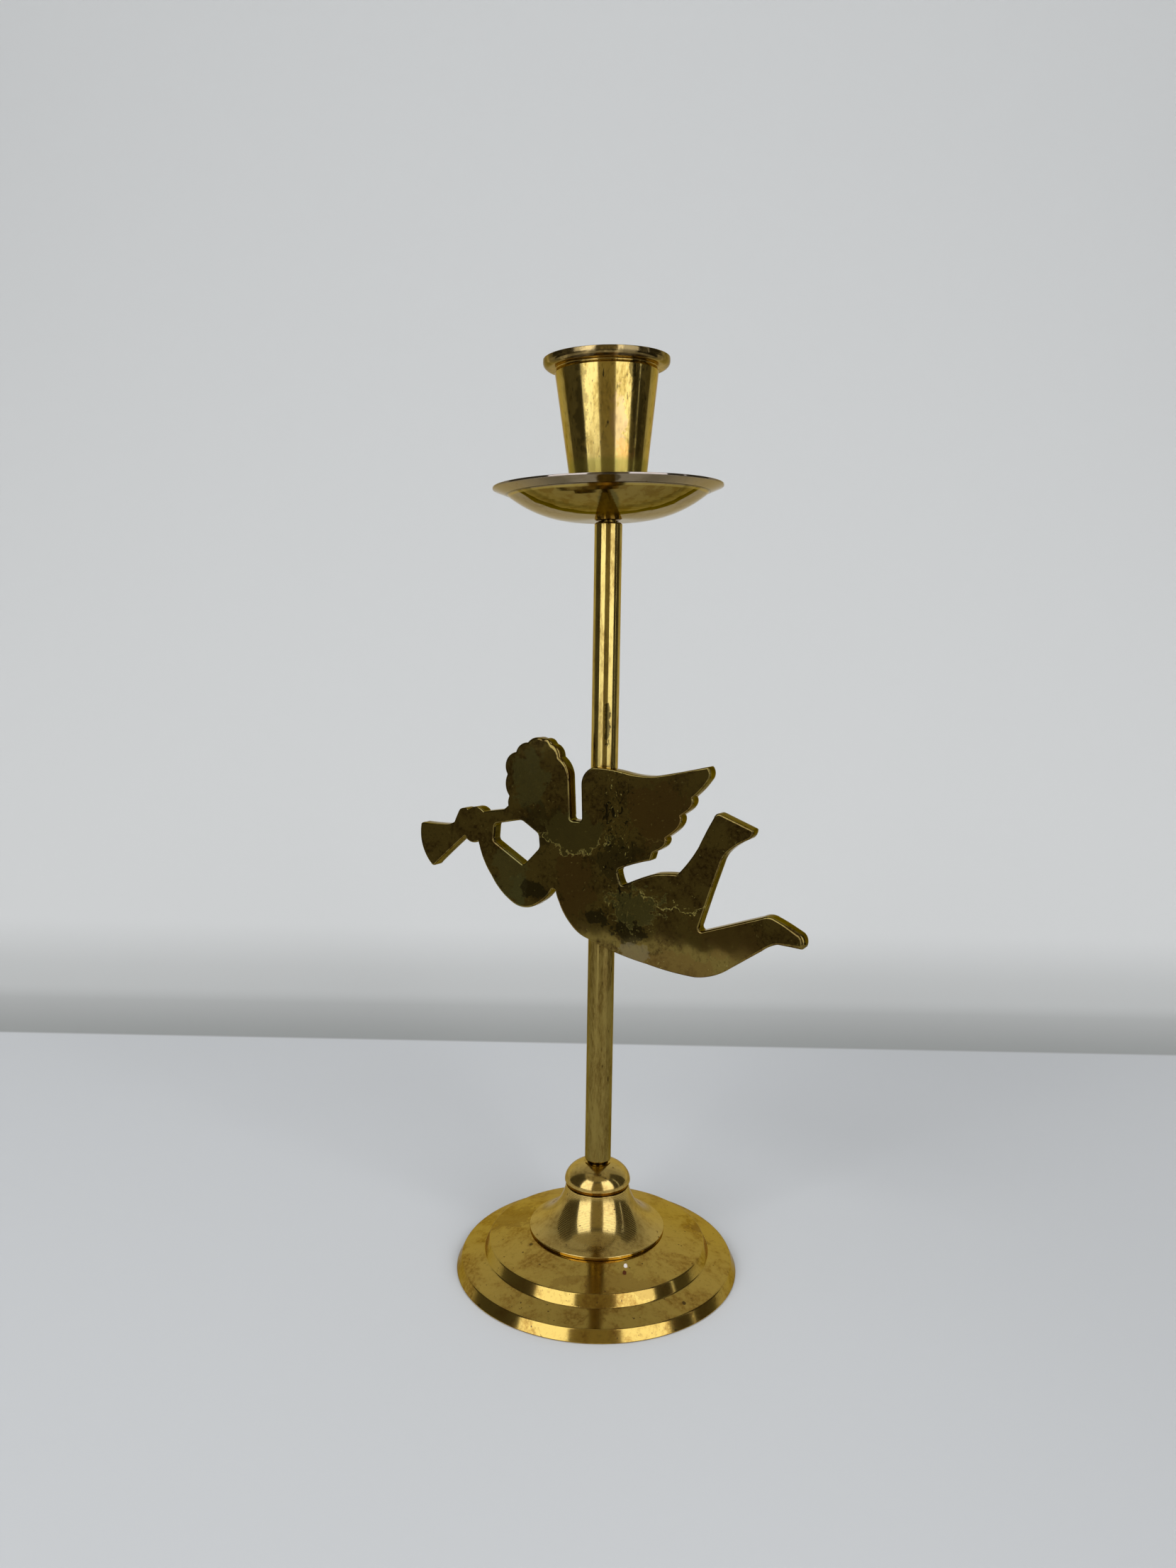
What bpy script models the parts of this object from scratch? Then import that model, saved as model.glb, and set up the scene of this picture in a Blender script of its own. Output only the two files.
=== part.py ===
"""Angel candle holder in turned and cast brass.

A round stepped foot carries a bell-shaped collar, a ball collar and a slim rod.
A drip pan and a tapered candle cup sit on the rod's upper end, slightly crooked,
and a flat cast angel with a trumpet is screwed to the front of the rod.

Units are metres and +Z is up. The origin is on the table, under the middle of the
whole width and depth, and -Y is the side that the angel faces.
"""
import math

import bmesh
import bpy

# Fits
SEAT_GAP = 0.0003            # air left between two pieces that touch
BORE_PLAY = 0.0003           # play round a rod end in the bores of foot and collars
TOP_PLAY = 0.0006            # wider play round the upper rod end in pan and cup

# Rod
ROD_RADIUS = 0.00353
ROD_LENGTH = 0.1700          # between its two shoulders
ROD_TOP_CHAMFER = 0.0004
ROD_FOOT_CHAMFER = 0.0007
LOWER_PIN_RADIUS = 0.0025    # turned-down lower end
UPPER_PIN_RADIUS = 0.0020    # turned-down upper end
UPPER_PIN_GRIP = 0.0050      # length of the upper end inside the cup's base

# Foot
FOOT_RADIUS = 0.0381
LOWER_STEP_HEIGHT = 0.0030
LOWER_STEP_TAPER = 0.0014    # how far the lower step's face leans in
LOWER_RING_WIDTH = 0.0062    # from the lower step's edge in to the upper step
LOWER_RING_RISE = 0.0018
UPPER_STEP_HEIGHT = 0.0029
UPPER_STEP_TAPER = 0.0013
UPPER_RING_RISE = 0.0026     # from the upper step's edge up to the bell's seat
FOOT_WALL = 0.0022           # thickness over the hollow underside
FOOT_RIM_WIDTH = 0.0027      # flat ring that the foot stands on
EDGE_BREAK = 0.0003          # small bevel on turned edges
HUB_RADIUS = 0.0090
HUB_THICKNESS = 0.0042

# Bell collar
BELL_LIP_RADIUS = 0.0183
BELL_LIP_HEIGHT = 0.0007
BELL_HEIGHT = 0.0122
BELL_NECK_RADIUS = 0.00855
BELL_HOLLOW = 0.0021         # how deep the bell's flare is drawn in

# Ball collar
BALL_RADIUS = 0.0089
BALL_BASE_DROP = 0.0009      # from the ball's widest line down to its seat
BALL_BASE_INSET = 0.0004
BALL_CROWN = 0.0056          # from the ball's widest line up to a full dome's top
BALL_LAND_MARGIN = 0.0002    # flat land on top, outside the rod

# Washer and nut under the foot
WASHER_RADIUS = 0.0065
WASHER_THICKNESS = 0.0008
NUT_RADIUS = 0.0046          # to the corners of the hexagon
NUT_HEIGHT = 0.0026
PIN_PROJECTION = 0.0004      # lower rod end beyond the nut

# Drip pan
PAN_RADIUS = 0.0292
PAN_SEAT_RADIUS = 0.0064     # flat middle of the pan
PAN_BOWL_RADIUS = 0.0257     # where the bowl turns into the flange
PAN_BOWL_DEPTH = 0.0068
PAN_FLANGE_RISE = 0.0018
PAN_WALL = 0.0011
PAN_RIM = 0.0005             # thickness of the flange's edge
PAN_CREASE = 0.0002          # narrow flat between the bowl and the flange

# Candle cup
CUP_HEIGHT = 0.0382
CUP_BASE_RADIUS = 0.0086
CUP_TOP_RADIUS = 0.0130
CUP_WALL = 0.0014
CUP_FLOOR = 0.0072
CUP_LIP_RADIUS = 0.0159
CUP_LIP_HEIGHT = 0.0023
CUP_LIP_ROUND = 0.0015       # rounded lower edge of the lip
CUP_GROOVE = 0.0003          # fine groove under the lip
CUP_GROOVE_HEIGHT = 0.0006
TOP_TILT = math.radians(1.64)    # pan and cup lean down towards -X
TOP_NOD = math.radians(0.8)      # and a little down towards -Y

# Angel
FIGURE_UNIT = 0.001          # one unit of the outline below
FIGURE_HEIGHT = 0.1146       # outline's zero line above the table
FIGURE_OFFSET = -0.0003      # outline's zero line beside the rod's axis
FIGURE_THICKNESS = 0.0038
FIGURE_TURN = math.radians(28.0)  # about the rod, towards -X
FIGURE_ROUND = 0.0004        # rounded edges of the plate
FIGURE_SWELL = 0.0001        # how far the cast edge stands outside the outline
FIGURE_ARC_STEP = math.radians(20.0)

# Screws that hold the angel, from behind through the rod
SCREW_HEIGHTS = (0.1000, 0.1180)
SCREW_RADIUS = 0.00125
SCREW_HEAD_RADIUS = 0.0023
SCREW_HEAD_HEIGHT = 0.0016
SCREW_GRIP = 0.0020          # length inside the plate
SCREW_HOLE_SPARE = 0.0003    # depth of the blind hole beyond the screw's tip
SCREW_SLOT_WIDTH = 0.0006
SCREW_SLOT_DEPTH = 0.0007
SPOT_FACE_DEPTH = 0.0006     # flat cut into the rod's back for the screw head
SPOT_FACE_MARGIN = 0.0004

# Facets
FINE_STEPS = 56
CUP_STEPS = 48
SMALL_STEPS = 36
ROD_STEPS = 24
SCREW_STEPS = 16
DOME_STEPS = 7
LIP_STEPS = 4
BELL_ARC_STEP = math.radians(9.0)
PAN_ARC_STEP = math.radians(6.0)
MERGE_DISTANCE = 0.00001
SHARP_ANGLE = math.radians(25.0)

# Heights of the seats, from the table up
FOOT_TOP = LOWER_STEP_HEIGHT + LOWER_RING_RISE + UPPER_STEP_HEIGHT + UPPER_RING_RISE
BELL_BOTTOM = FOOT_TOP + SEAT_GAP
BELL_TOP = BELL_BOTTOM + BELL_HEIGHT
BALL_BOTTOM = BELL_TOP + SEAT_GAP
BALL_LAND_RADIUS = ROD_RADIUS + BALL_LAND_MARGIN
BALL_MIDDLE = BALL_BOTTOM + BALL_BASE_DROP
BALL_TOP = BALL_MIDDLE + BALL_CROWN * math.sqrt(1.0 - (BALL_LAND_RADIUS / BALL_RADIUS) ** 2)
ROD_BOTTOM = BALL_TOP + SEAT_GAP
ROD_TOP = ROD_BOTTOM + ROD_LENGTH
HUB_UNDERSIDE = FOOT_TOP - HUB_THICKNESS
WASHER_BOTTOM = HUB_UNDERSIDE - SEAT_GAP - WASHER_THICKNESS
NUT_BOTTOM = WASHER_BOTTOM - SEAT_GAP - NUT_HEIGHT
PIN_BOTTOM = NUT_BOTTOM - PIN_PROJECTION
PIN_TOP = ROD_TOP + SEAT_GAP + PAN_WALL + SEAT_GAP + UPPER_PIN_GRIP
LOWER_BORE = LOWER_PIN_RADIUS + BORE_PLAY
UPPER_BORE = UPPER_PIN_RADIUS + TOP_PLAY
PLATE_BACK = ROD_RADIUS + SEAT_GAP
SCREW_SEAT = ROD_RADIUS - SPOT_FACE_DEPTH

# Angel's outline, clockwise from the trumpet's bell, as strokes to (x, z, bulge).
# The bulge is an arc's height over its chord, positive where the figure swells.
TRUMPET_TOP = ((-52.6, 3.9, 0.25), (-44.8, 4.0, -0.1), (-42.0, 5.0, -0.15))
FINGERS = ((-40.3, 8.6, 0.05), (-37.2, 8.8, 0.45), (-32.4, 8.7, 1.0), (-25.9, 9.8, 0.0))
FACE = ((-24.5, 11.0, 0.0), (-24.2, 13.6, 0.25))
CURLS = (
    (-24.8, 19.4, 0.9),
    (-22.2, 25.4, 1.8),
    (-18.6, 28.1, 0.8),
    (-14.2, 29.3, 0.8),
    (-11.3, 28.1, 0.6),
    (-8.9, 24.9, 0.7),
)
NAPE_AND_SLOT = (
    (-6.2, 19.2, 0.75),
    (-5.7, 9.9, 0.0),
    (-4.9, 8.6, -0.35),
    (-3.0, 8.6, 0.0),
    (-2.0, 9.5, -0.3),
)
WING_TOP = (
    (-2.3, 17.9, 0.0),
    (0.9, 22.8, 1.0),
    (10.3, 22.0, 0.25),
    (18.4, 21.7, -0.3),
    (32.6, 25.0, -0.1),
    (33.0, 22.2, 0.4),
    (28.6, 17.2, 0.25),
)
FEATHER_TIPS = ((25.6, 12.5, 1.1), (21.7, 6.6, 1.25), (18.3, 2.6, 1.05))
WING_UNDERSIDE = ((17.7, 0.6, 0.0), (8.8, -2.5, -0.2), (8.4, -3.3, 0.0), (9.4, -6.4, -0.15))
BACK = ((10.4, -6.6, -0.2), (19.2, -2.8, 0.2), (25.2, -2.3, 0.15))
RAISED_LEG = (
    (30.8, 5.3, -0.3),
    (34.6, 12.8, 0.1),
    (36.2, 13.8, 0.45),
    (44.7, 10.6, 0.0),
    (43.6, 8.4, 0.35),
    (38.4, 4.9, -0.25),
    (36.5, 1.6, -0.25),
    (33.9, -6.1, 0.0),
    (31.3, -14.4, 0.0),
    (31.9, -15.9, -0.4),
)
STRAIGHT_LEG = (
    (47.4, -10.4, 0.0),
    (51.0, -10.3, 0.45),
    (57.4, -13.2, 0.1),
    (58.1, -16.2, 0.5),
    (57.4, -16.6, 0.15),
    (51.7, -16.2, 0.0),
    (47.8, -18.3, -0.25),
    (39.6, -24.0, 0.0),
    (30.5, -27.5, 0.7),
)
BELLY = (
    (17.3, -26.1, 0.3),
    (0.2, -21.9, 0.5),
    (-4.8, -18.9, 0.45),
    (-8.5, -13.4, 0.35),
    (-9.6, -10.5, 0.1),
    (-10.9, -10.2, -0.3),
)
ARM = (
    (-15.0, -14.4, 0.4),
    (-22.4, -15.4, 1.05),
    (-29.7, -8.6, 0.7),
    (-33.7, -0.8, 0.45),
    (-34.1, 0.5, 0.0),
    (-37.9, 0.8, 0.65),
    (-38.4, 1.7, 0.0),
)
TRUMPET_MOUTH = ((-48.4, -7.2, -0.1), (-49.6, -7.6, 0.3), (-53.3, 3.2, 1.45))
ARM_LOOP = ((-29.0, 5.8), (-20.3, 7.6), (-15.0, 4.3), (-14.6, 0.5), (-19.6, -4.7), (-29.4, 1.1))
ARM_LOOP_ROUND = 0.7
FEATHER_SKEW = 0.65          # below 1, a feather swells most near its upper end
FEATHER_STEPS = 5


def clear_scene():
    for old in list(bpy.data.objects):
        bpy.data.objects.remove(old, do_unlink=True)


def new_collection(name):
    collection = bpy.data.collections.new(name)
    bpy.context.scene.collection.children.link(collection)
    return collection


def metal(name, color, roughness):
    """Make a polished metal with one colour and roughness."""
    material = bpy.data.materials.new(name)
    material.use_nodes = True
    shader = material.node_tree.nodes["Principled BSDF"]
    shader.inputs["Base Color"].default_value = (*color, 1.0)
    shader.inputs["Metallic"].default_value = 1.0
    shader.inputs["Roughness"].default_value = roughness
    return material


def add_object(name, data, collection, material=None, parent=None):
    piece = bpy.data.objects.new(name, data)
    collection.objects.link(piece)
    piece.parent = parent
    if material is not None:
        data.materials.append(material)
    return piece


def add_empty(name, collection, location, rotation):
    frame = add_object(name, None, collection)
    frame.location = location
    frame.rotation_euler = rotation
    return frame


def hide_cutter(cutter):
    cutter.hide_render = True
    cutter.display_type = "WIRE"
    return cutter


def turned(name, profile, collection, steps, material=None, parent=None, ring=True):
    """Turn a profile of (radius, height) points about Z.

    The points run down the outer side. A ring profile closes up its bore, and
    any other profile starts and ends on the axis.
    """
    count = len(profile)
    edges = [(i, i + 1) for i in range(count - 1)]
    if ring:
        edges.append((count - 1, 0))
    mesh = bpy.data.meshes.new(name)
    mesh.from_pydata([(radius, 0.0, height) for radius, height in profile], edges, [])
    piece = add_object(name, mesh, collection, material, parent)
    screw = piece.modifiers.new("Turn", "SCREW")
    screw.axis = "Z"
    screw.angle = math.tau
    screw.steps = steps
    screw.render_steps = steps
    screw.use_smooth_shade = True
    screw.use_merge_vertices = True
    screw.merge_threshold = MERGE_DISTANCE
    return piece


def cut(piece, cutter):
    boolean = piece.modifiers.new("Cut " + cutter.name, "BOOLEAN")
    boolean.operation = "DIFFERENCE"
    boolean.solver = "EXACT"
    boolean.object = cutter


def arc(start, end, bulge, step):
    """Points after start on a circular arc to end that swells left by bulge."""
    chord_x = end[0] - start[0]
    chord_y = end[1] - start[1]
    chord = math.hypot(chord_x, chord_y)
    turn = 4.0 * math.atan(2.0 * abs(bulge) / chord)
    pieces = max(1, math.ceil(turn / step))
    if pieces == 1:
        return [end]
    radius = (chord * chord / 4.0 + bulge * bulge) / (2.0 * bulge)
    centre_x = (start[0] + end[0]) / 2.0 - chord_y / chord * (bulge - radius)
    centre_y = (start[1] + end[1]) / 2.0 + chord_x / chord * (bulge - radius)
    points = []
    for i in range(1, pieces):
        angle = -math.copysign(turn, bulge) * i / pieces
        arm_x = start[0] - centre_x
        arm_y = start[1] - centre_y
        x = centre_x + arm_x * math.cos(angle) - arm_y * math.sin(angle)
        y = centre_y + arm_x * math.sin(angle) + arm_y * math.cos(angle)
        points.append((x, y))
    points.append(end)
    return points


def feather(start, end, depth):
    """Points after start on one feather tip, a sine bulge skewed to its start."""
    chord_x = end[0] - start[0]
    chord_y = end[1] - start[1]
    chord = math.hypot(chord_x, chord_y)
    points = []
    for i in range(1, FEATHER_STEPS + 1):
        t = i / FEATHER_STEPS
        swell = depth * math.sin(math.pi * t ** FEATHER_SKEW)
        x = start[0] + chord_x * t - chord_y / chord * swell
        y = start[1] + chord_y * t + chord_x / chord * swell
        points.append((x, y))
    return points


def stroke(points, strokes):
    for x, y, bulge in strokes:
        points += arc(points[-1], (x, y), bulge, FIGURE_ARC_STEP)


def figure_outline():
    """Angel's outer outline in outline units."""
    points = [TRUMPET_MOUTH[-1][:2]]
    for strokes in (TRUMPET_TOP, FINGERS, FACE, CURLS, NAPE_AND_SLOT, WING_TOP):
        stroke(points, strokes)
    for x, y, depth in FEATHER_TIPS:
        points += feather(points[-1], (x, y), depth)
    for strokes in (WING_UNDERSIDE, BACK, RAISED_LEG, STRAIGHT_LEG, BELLY, ARM, TRUMPET_MOUTH):
        stroke(points, strokes)
    return points[:-1]


def rounded_loop(corners, cutback):
    """Closed outline whose corners are cut off at cutback from their tips."""
    points = []
    for i, corner in enumerate(corners):
        for other in (corners[i - 1], corners[(i + 1) % len(corners)]):
            reach = math.dist(corner, other)
            x = corner[0] + (other[0] - corner[0]) * cutback / reach
            y = corner[1] + (other[1] - corner[1]) * cutback / reach
            points.append((x, y))
    return points


def add_outline(curve, points):
    spline = curve.splines.new("POLY")
    spline.points.add(len(points) - 1)
    for point, (x, y) in zip(spline.points, points):
        point.co = (x * FIGURE_UNIT, y * FIGURE_UNIT, 0.0, 1.0)
    spline.use_cyclic_u = True


def curve_to_mesh(guide, collection, material):
    """Replace a filled curve by a welded mesh object of the same name and place."""
    bpy.context.view_layer.update()
    evaluated = guide.evaluated_get(bpy.context.evaluated_depsgraph_get())
    mesh = bpy.data.meshes.new_from_object(evaluated)
    name = guide.name
    place = guide.matrix_world.copy()
    bpy.data.objects.remove(guide, do_unlink=True)
    shape = bmesh.new()
    shape.from_mesh(mesh)
    bmesh.ops.remove_doubles(shape, verts=shape.verts, dist=MERGE_DISTANCE)
    bmesh.ops.recalc_face_normals(shape, faces=shape.faces)
    shape.to_mesh(mesh)
    shape.free()
    mesh.materials.clear()
    piece = add_object(name, mesh, collection, material)
    piece.matrix_world = place
    return piece


def make_foot(collection, material):
    lower_edge = FOOT_RADIUS - LOWER_STEP_TAPER
    step_foot = lower_edge - LOWER_RING_WIDTH
    upper_edge = step_foot - UPPER_STEP_TAPER
    lower_ring = LOWER_STEP_HEIGHT + LOWER_RING_RISE
    upper_step = lower_ring + UPPER_STEP_HEIGHT
    outside = [
        (BELL_LIP_RADIUS, FOOT_TOP),
        (upper_edge - EDGE_BREAK, upper_step + EDGE_BREAK / 4.0),
        (upper_edge, upper_step - EDGE_BREAK),
        (step_foot, lower_ring + EDGE_BREAK),
        (step_foot + EDGE_BREAK / 2.0, lower_ring),
        (lower_edge - EDGE_BREAK, LOWER_STEP_HEIGHT + EDGE_BREAK / 4.0),
        (lower_edge, LOWER_STEP_HEIGHT - EDGE_BREAK),
        (FOOT_RADIUS, EDGE_BREAK),
        (FOOT_RADIUS - EDGE_BREAK, 0.0),
    ]
    rim_inside = FOOT_RADIUS - FOOT_RIM_WIDTH
    underside = [
        (rim_inside, 0.0),
        (rim_inside - EDGE_BREAK, LOWER_STEP_HEIGHT - FOOT_WALL),
        (step_foot - FOOT_WALL / 2.0, lower_ring - FOOT_WALL),
        (upper_edge - FOOT_WALL, upper_step - FOOT_WALL),
        (BELL_LIP_RADIUS, FOOT_TOP - FOOT_WALL),
        (HUB_RADIUS + FOOT_WALL, FOOT_TOP - FOOT_WALL),
        (HUB_RADIUS, HUB_UNDERSIDE),
        (LOWER_BORE, HUB_UNDERSIDE),
    ]
    profile = [(LOWER_BORE, FOOT_TOP)] + outside + underside
    return turned("foot", profile, collection, FINE_STEPS, material)


def make_bell(collection, material):
    lip_top = BELL_BOTTOM + BELL_LIP_HEIGHT
    neck = (BELL_NECK_RADIUS, BELL_TOP)
    flare = arc(neck, (BELL_LIP_RADIUS, lip_top), -BELL_HOLLOW, BELL_ARC_STEP)
    profile = [(LOWER_BORE, BELL_TOP), neck] + flare
    profile += [(BELL_LIP_RADIUS, BELL_BOTTOM), (LOWER_BORE, BELL_BOTTOM)]
    return turned("bell_collar", profile, collection, SMALL_STEPS, material)


def make_ball(collection, material):
    """Domed collar: part of an ellipse between its top land and its seat."""
    profile = [(LOWER_BORE, BALL_TOP)]
    start = math.asin(BALL_LAND_RADIUS / BALL_RADIUS)
    for i in range(DOME_STEPS + 1):
        angle = start + (math.pi / 2.0 - start) * i / DOME_STEPS
        profile.append((BALL_RADIUS * math.sin(angle), BALL_MIDDLE + BALL_CROWN * math.cos(angle)))
    profile.append((BALL_RADIUS - BALL_BASE_INSET, BALL_BOTTOM))
    profile.append((LOWER_BORE, BALL_BOTTOM))
    return turned("ball_collar", profile, collection, SMALL_STEPS, material)


def make_rod(collection, material):
    profile = [
        (0.0, PIN_TOP),
        (UPPER_PIN_RADIUS, PIN_TOP),
        (UPPER_PIN_RADIUS, ROD_TOP),
        (ROD_RADIUS - ROD_TOP_CHAMFER, ROD_TOP),
        (ROD_RADIUS, ROD_TOP - ROD_TOP_CHAMFER),
        (ROD_RADIUS, ROD_BOTTOM + ROD_FOOT_CHAMFER),
        (ROD_RADIUS - ROD_FOOT_CHAMFER, ROD_BOTTOM),
        (LOWER_PIN_RADIUS, ROD_BOTTOM),
        (LOWER_PIN_RADIUS, PIN_BOTTOM),
        (0.0, PIN_BOTTOM),
    ]
    return turned("rod", profile, collection, ROD_STEPS, material, ring=False)


def make_washer(collection, material):
    top = WASHER_BOTTOM + WASHER_THICKNESS
    profile = [
        (LOWER_BORE, top),
        (WASHER_RADIUS, top),
        (WASHER_RADIUS, WASHER_BOTTOM),
        (LOWER_BORE, WASHER_BOTTOM),
    ]
    return turned("foot_washer", profile, collection, ROD_STEPS, material)


def make_nut(collection, cutters, material):
    shape = bmesh.new()
    bmesh.ops.create_cone(
        shape, cap_ends=True, segments=6, radius1=NUT_RADIUS, radius2=NUT_RADIUS, depth=NUT_HEIGHT
    )
    mesh = bpy.data.meshes.new("foot_nut")
    shape.to_mesh(mesh)
    shape.free()
    nut = add_object("foot_nut", mesh, collection, material)
    nut.location.z = NUT_BOTTOM + NUT_HEIGHT / 2.0
    bore = [
        (0.0, NUT_HEIGHT),
        (LOWER_BORE, NUT_HEIGHT),
        (LOWER_BORE, -NUT_HEIGHT),
        (0.0, -NUT_HEIGHT),
    ]
    cutter = hide_cutter(turned("nut_bore", bore, cutters, ROD_STEPS, ring=False))
    cutter.parent = nut
    cut(nut, cutter)
    return nut


def make_pan(collection, material, seat):
    """Drip pan: flat middle, bowl in one arc, then a flange; heights above the seat."""
    bottom = SEAT_GAP
    crease = bottom + PAN_BOWL_DEPTH
    rim = crease + PAN_FLANGE_RISE
    run = PAN_BOWL_RADIUS - PAN_SEAT_RADIUS
    chord = math.hypot(run, PAN_BOWL_DEPTH)
    bulge = chord * math.tan(math.atan2(PAN_BOWL_DEPTH, run) / 2.0) / 2.0
    outer_bowl = arc((PAN_BOWL_RADIUS, crease), (PAN_SEAT_RADIUS, bottom), bulge, PAN_ARC_STEP)
    lift = bottom + PAN_WALL
    inner_crease = (PAN_BOWL_RADIUS - PAN_WALL / 2.0, crease + PAN_WALL)
    inner_bowl = arc((PAN_SEAT_RADIUS, lift), inner_crease, -bulge, PAN_ARC_STEP)
    profile = [(UPPER_BORE, lift), (PAN_SEAT_RADIUS, lift)] + inner_bowl
    profile += [
        (PAN_RADIUS - EDGE_BREAK, rim),
        (PAN_RADIUS, rim - EDGE_BREAK),
        (PAN_RADIUS - EDGE_BREAK / 2.0, rim - PAN_RIM),
        (PAN_BOWL_RADIUS + PAN_CREASE, crease),
        (PAN_BOWL_RADIUS, crease),
    ]
    profile += outer_bowl + [(UPPER_BORE, bottom)]
    return turned("drip_pan", profile, collection, FINE_STEPS, material, seat)


def make_cup(collection, material, seat):
    """Tapered candle cup with a round lip; heights above the seat."""
    bottom = SEAT_GAP + PAN_WALL + SEAT_GAP
    top = bottom + CUP_HEIGHT
    lip_bottom = top - CUP_LIP_HEIGHT
    body_top = lip_bottom - CUP_GROOVE_HEIGHT
    slope = (CUP_TOP_RADIUS - CUP_BASE_RADIUS) / (body_top - bottom)
    floor = bottom + CUP_FLOOR
    floor_radius = CUP_BASE_RADIUS + slope * CUP_FLOOR - CUP_WALL
    mouth_radius = CUP_TOP_RADIUS - CUP_WALL
    round_centre = lip_bottom + CUP_LIP_ROUND
    bore_end = bottom + UPPER_PIN_GRIP + SEAT_GAP + TOP_PLAY
    profile = [
        (mouth_radius + EDGE_BREAK, top),
        (CUP_LIP_RADIUS - EDGE_BREAK, top),
        (CUP_LIP_RADIUS, top - EDGE_BREAK),
    ]
    for i in range(LIP_STEPS + 1):
        angle = math.pi / 2.0 * i / LIP_STEPS
        radius = CUP_LIP_RADIUS - CUP_LIP_ROUND * (1.0 - math.cos(angle))
        profile.append((radius, round_centre - CUP_LIP_ROUND * math.sin(angle)))
    profile += [
        (CUP_TOP_RADIUS - CUP_GROOVE, lip_bottom),
        (CUP_TOP_RADIUS - CUP_GROOVE, body_top),
        (CUP_TOP_RADIUS, body_top - CUP_GROOVE),
        (CUP_BASE_RADIUS + slope * EDGE_BREAK, bottom + EDGE_BREAK),
        (CUP_BASE_RADIUS - EDGE_BREAK, bottom),
        (UPPER_BORE, bottom),
        (UPPER_BORE, bore_end),
        (0.0, bore_end),
    ]
    inside = [
        (0.0, floor),
        (floor_radius - CUP_WALL, floor),
        (floor_radius, floor + CUP_WALL),
        (mouth_radius, top - EDGE_BREAK),
    ]
    return turned("candle_cup", inside + profile, collection, CUP_STEPS, material, seat, ring=False)


def make_figure(collection, cutters, material, mount):
    curve = bpy.data.curves.new("angel_plate", "CURVE")
    curve.dimensions = "2D"
    curve.fill_mode = "BOTH"
    curve.extrude = FIGURE_THICKNESS / 2.0 - FIGURE_ROUND
    curve.bevel_depth = FIGURE_ROUND
    curve.offset = FIGURE_SWELL - FIGURE_ROUND
    curve.bevel_resolution = 1
    add_outline(curve, figure_outline())
    add_outline(curve, rounded_loop(ARM_LOOP, ARM_LOOP_ROUND))
    guide = add_object("angel_plate", curve, collection, parent=mount)
    guide.rotation_euler = (math.pi / 2.0, 0.0, 0.0)
    guide.location = (FIGURE_OFFSET, -PLATE_BACK - FIGURE_THICKNESS / 2.0, FIGURE_HEIGHT)
    plate = curve_to_mesh(guide, collection, material)
    bore = SCREW_RADIUS + BORE_PLAY
    hole_start = -PLATE_BACK + FIGURE_THICKNESS
    hole_end = -PLATE_BACK - SCREW_GRIP - SCREW_HOLE_SPARE
    hole = [(0.0, hole_start), (bore, hole_start), (bore, hole_end), (0.0, hole_end)]
    for number, height in enumerate(SCREW_HEIGHTS, start=1):
        cut(plate, cross_cutter(f"plate_hole_{number}", hole, cutters, mount, height))
    return plate


def cross_cutter(name, profile, cutters, mount, height):
    cutter = turned(name, profile, cutters, SCREW_STEPS, ring=False)
    return hide_cutter(place_across_rod(cutter, mount, height))


def place_across_rod(piece, mount, height):
    """Lay a piece turned about Z across the rod, its top to the back."""
    piece.parent = mount
    piece.rotation_euler = (-math.pi / 2.0, 0.0, 0.0)
    piece.location = (0.0, 0.0, height)
    return piece


def drill_rod(rod, cutters, mount):
    """Cut a cross hole and a flat seat for the screw head at each height."""
    reach = 2.0 * ROD_RADIUS
    spot_face = SCREW_HEAD_RADIUS + SPOT_FACE_MARGIN
    bore = SCREW_RADIUS + BORE_PLAY
    drill = [
        (0.0, reach),
        (spot_face, reach),
        (spot_face, SCREW_SEAT),
        (bore, SCREW_SEAT),
        (bore, -reach),
        (0.0, -reach),
    ]
    for number, height in enumerate(SCREW_HEIGHTS, start=1):
        cut(rod, cross_cutter(f"rod_drill_{number}", drill, cutters, mount, height))


def make_screw(name, height, collection, cutters, material, mount):
    """Slotted screw from behind; heights along its axis are from the rod's axis."""
    seat = SCREW_SEAT + SEAT_GAP
    head_top = seat + SCREW_HEAD_HEIGHT
    profile = [
        (0.0, head_top),
        (SCREW_HEAD_RADIUS - EDGE_BREAK, head_top),
        (SCREW_HEAD_RADIUS, head_top - EDGE_BREAK),
        (SCREW_HEAD_RADIUS, seat),
        (SCREW_RADIUS, seat),
        (SCREW_RADIUS, -PLATE_BACK - SCREW_GRIP),
        (0.0, -PLATE_BACK - SCREW_GRIP),
    ]
    screw = turned(name, profile, collection, SCREW_STEPS, material, ring=False)
    place_across_rod(screw, mount, height)
    shape = bmesh.new()
    bmesh.ops.create_cube(shape, size=1.0)
    slot_reach = 3.0 * SCREW_HEAD_RADIUS
    size = (slot_reach, SCREW_SLOT_WIDTH, 2.0 * SCREW_SLOT_DEPTH)
    bmesh.ops.scale(shape, vec=size, verts=shape.verts)
    mesh = bpy.data.meshes.new(name + "_slot")
    shape.to_mesh(mesh)
    shape.free()
    slot = hide_cutter(add_object(name + "_slot", mesh, cutters, parent=screw))
    slot.location = (0.0, 0.0, head_top)
    cut(screw, slot)
    return screw


def smooth_round_faces(piece):
    """Make the modifiers' result the piece's own mesh, smooth but for its edges."""
    evaluated = piece.evaluated_get(bpy.context.evaluated_depsgraph_get())
    mesh = bpy.data.meshes.new_from_object(evaluated)
    piece.modifiers.clear()
    piece.data = mesh
    mesh.name = piece.name
    mesh.shade_smooth()
    mesh.set_sharp_from_angle(angle=SHARP_ANGLE)


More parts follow.
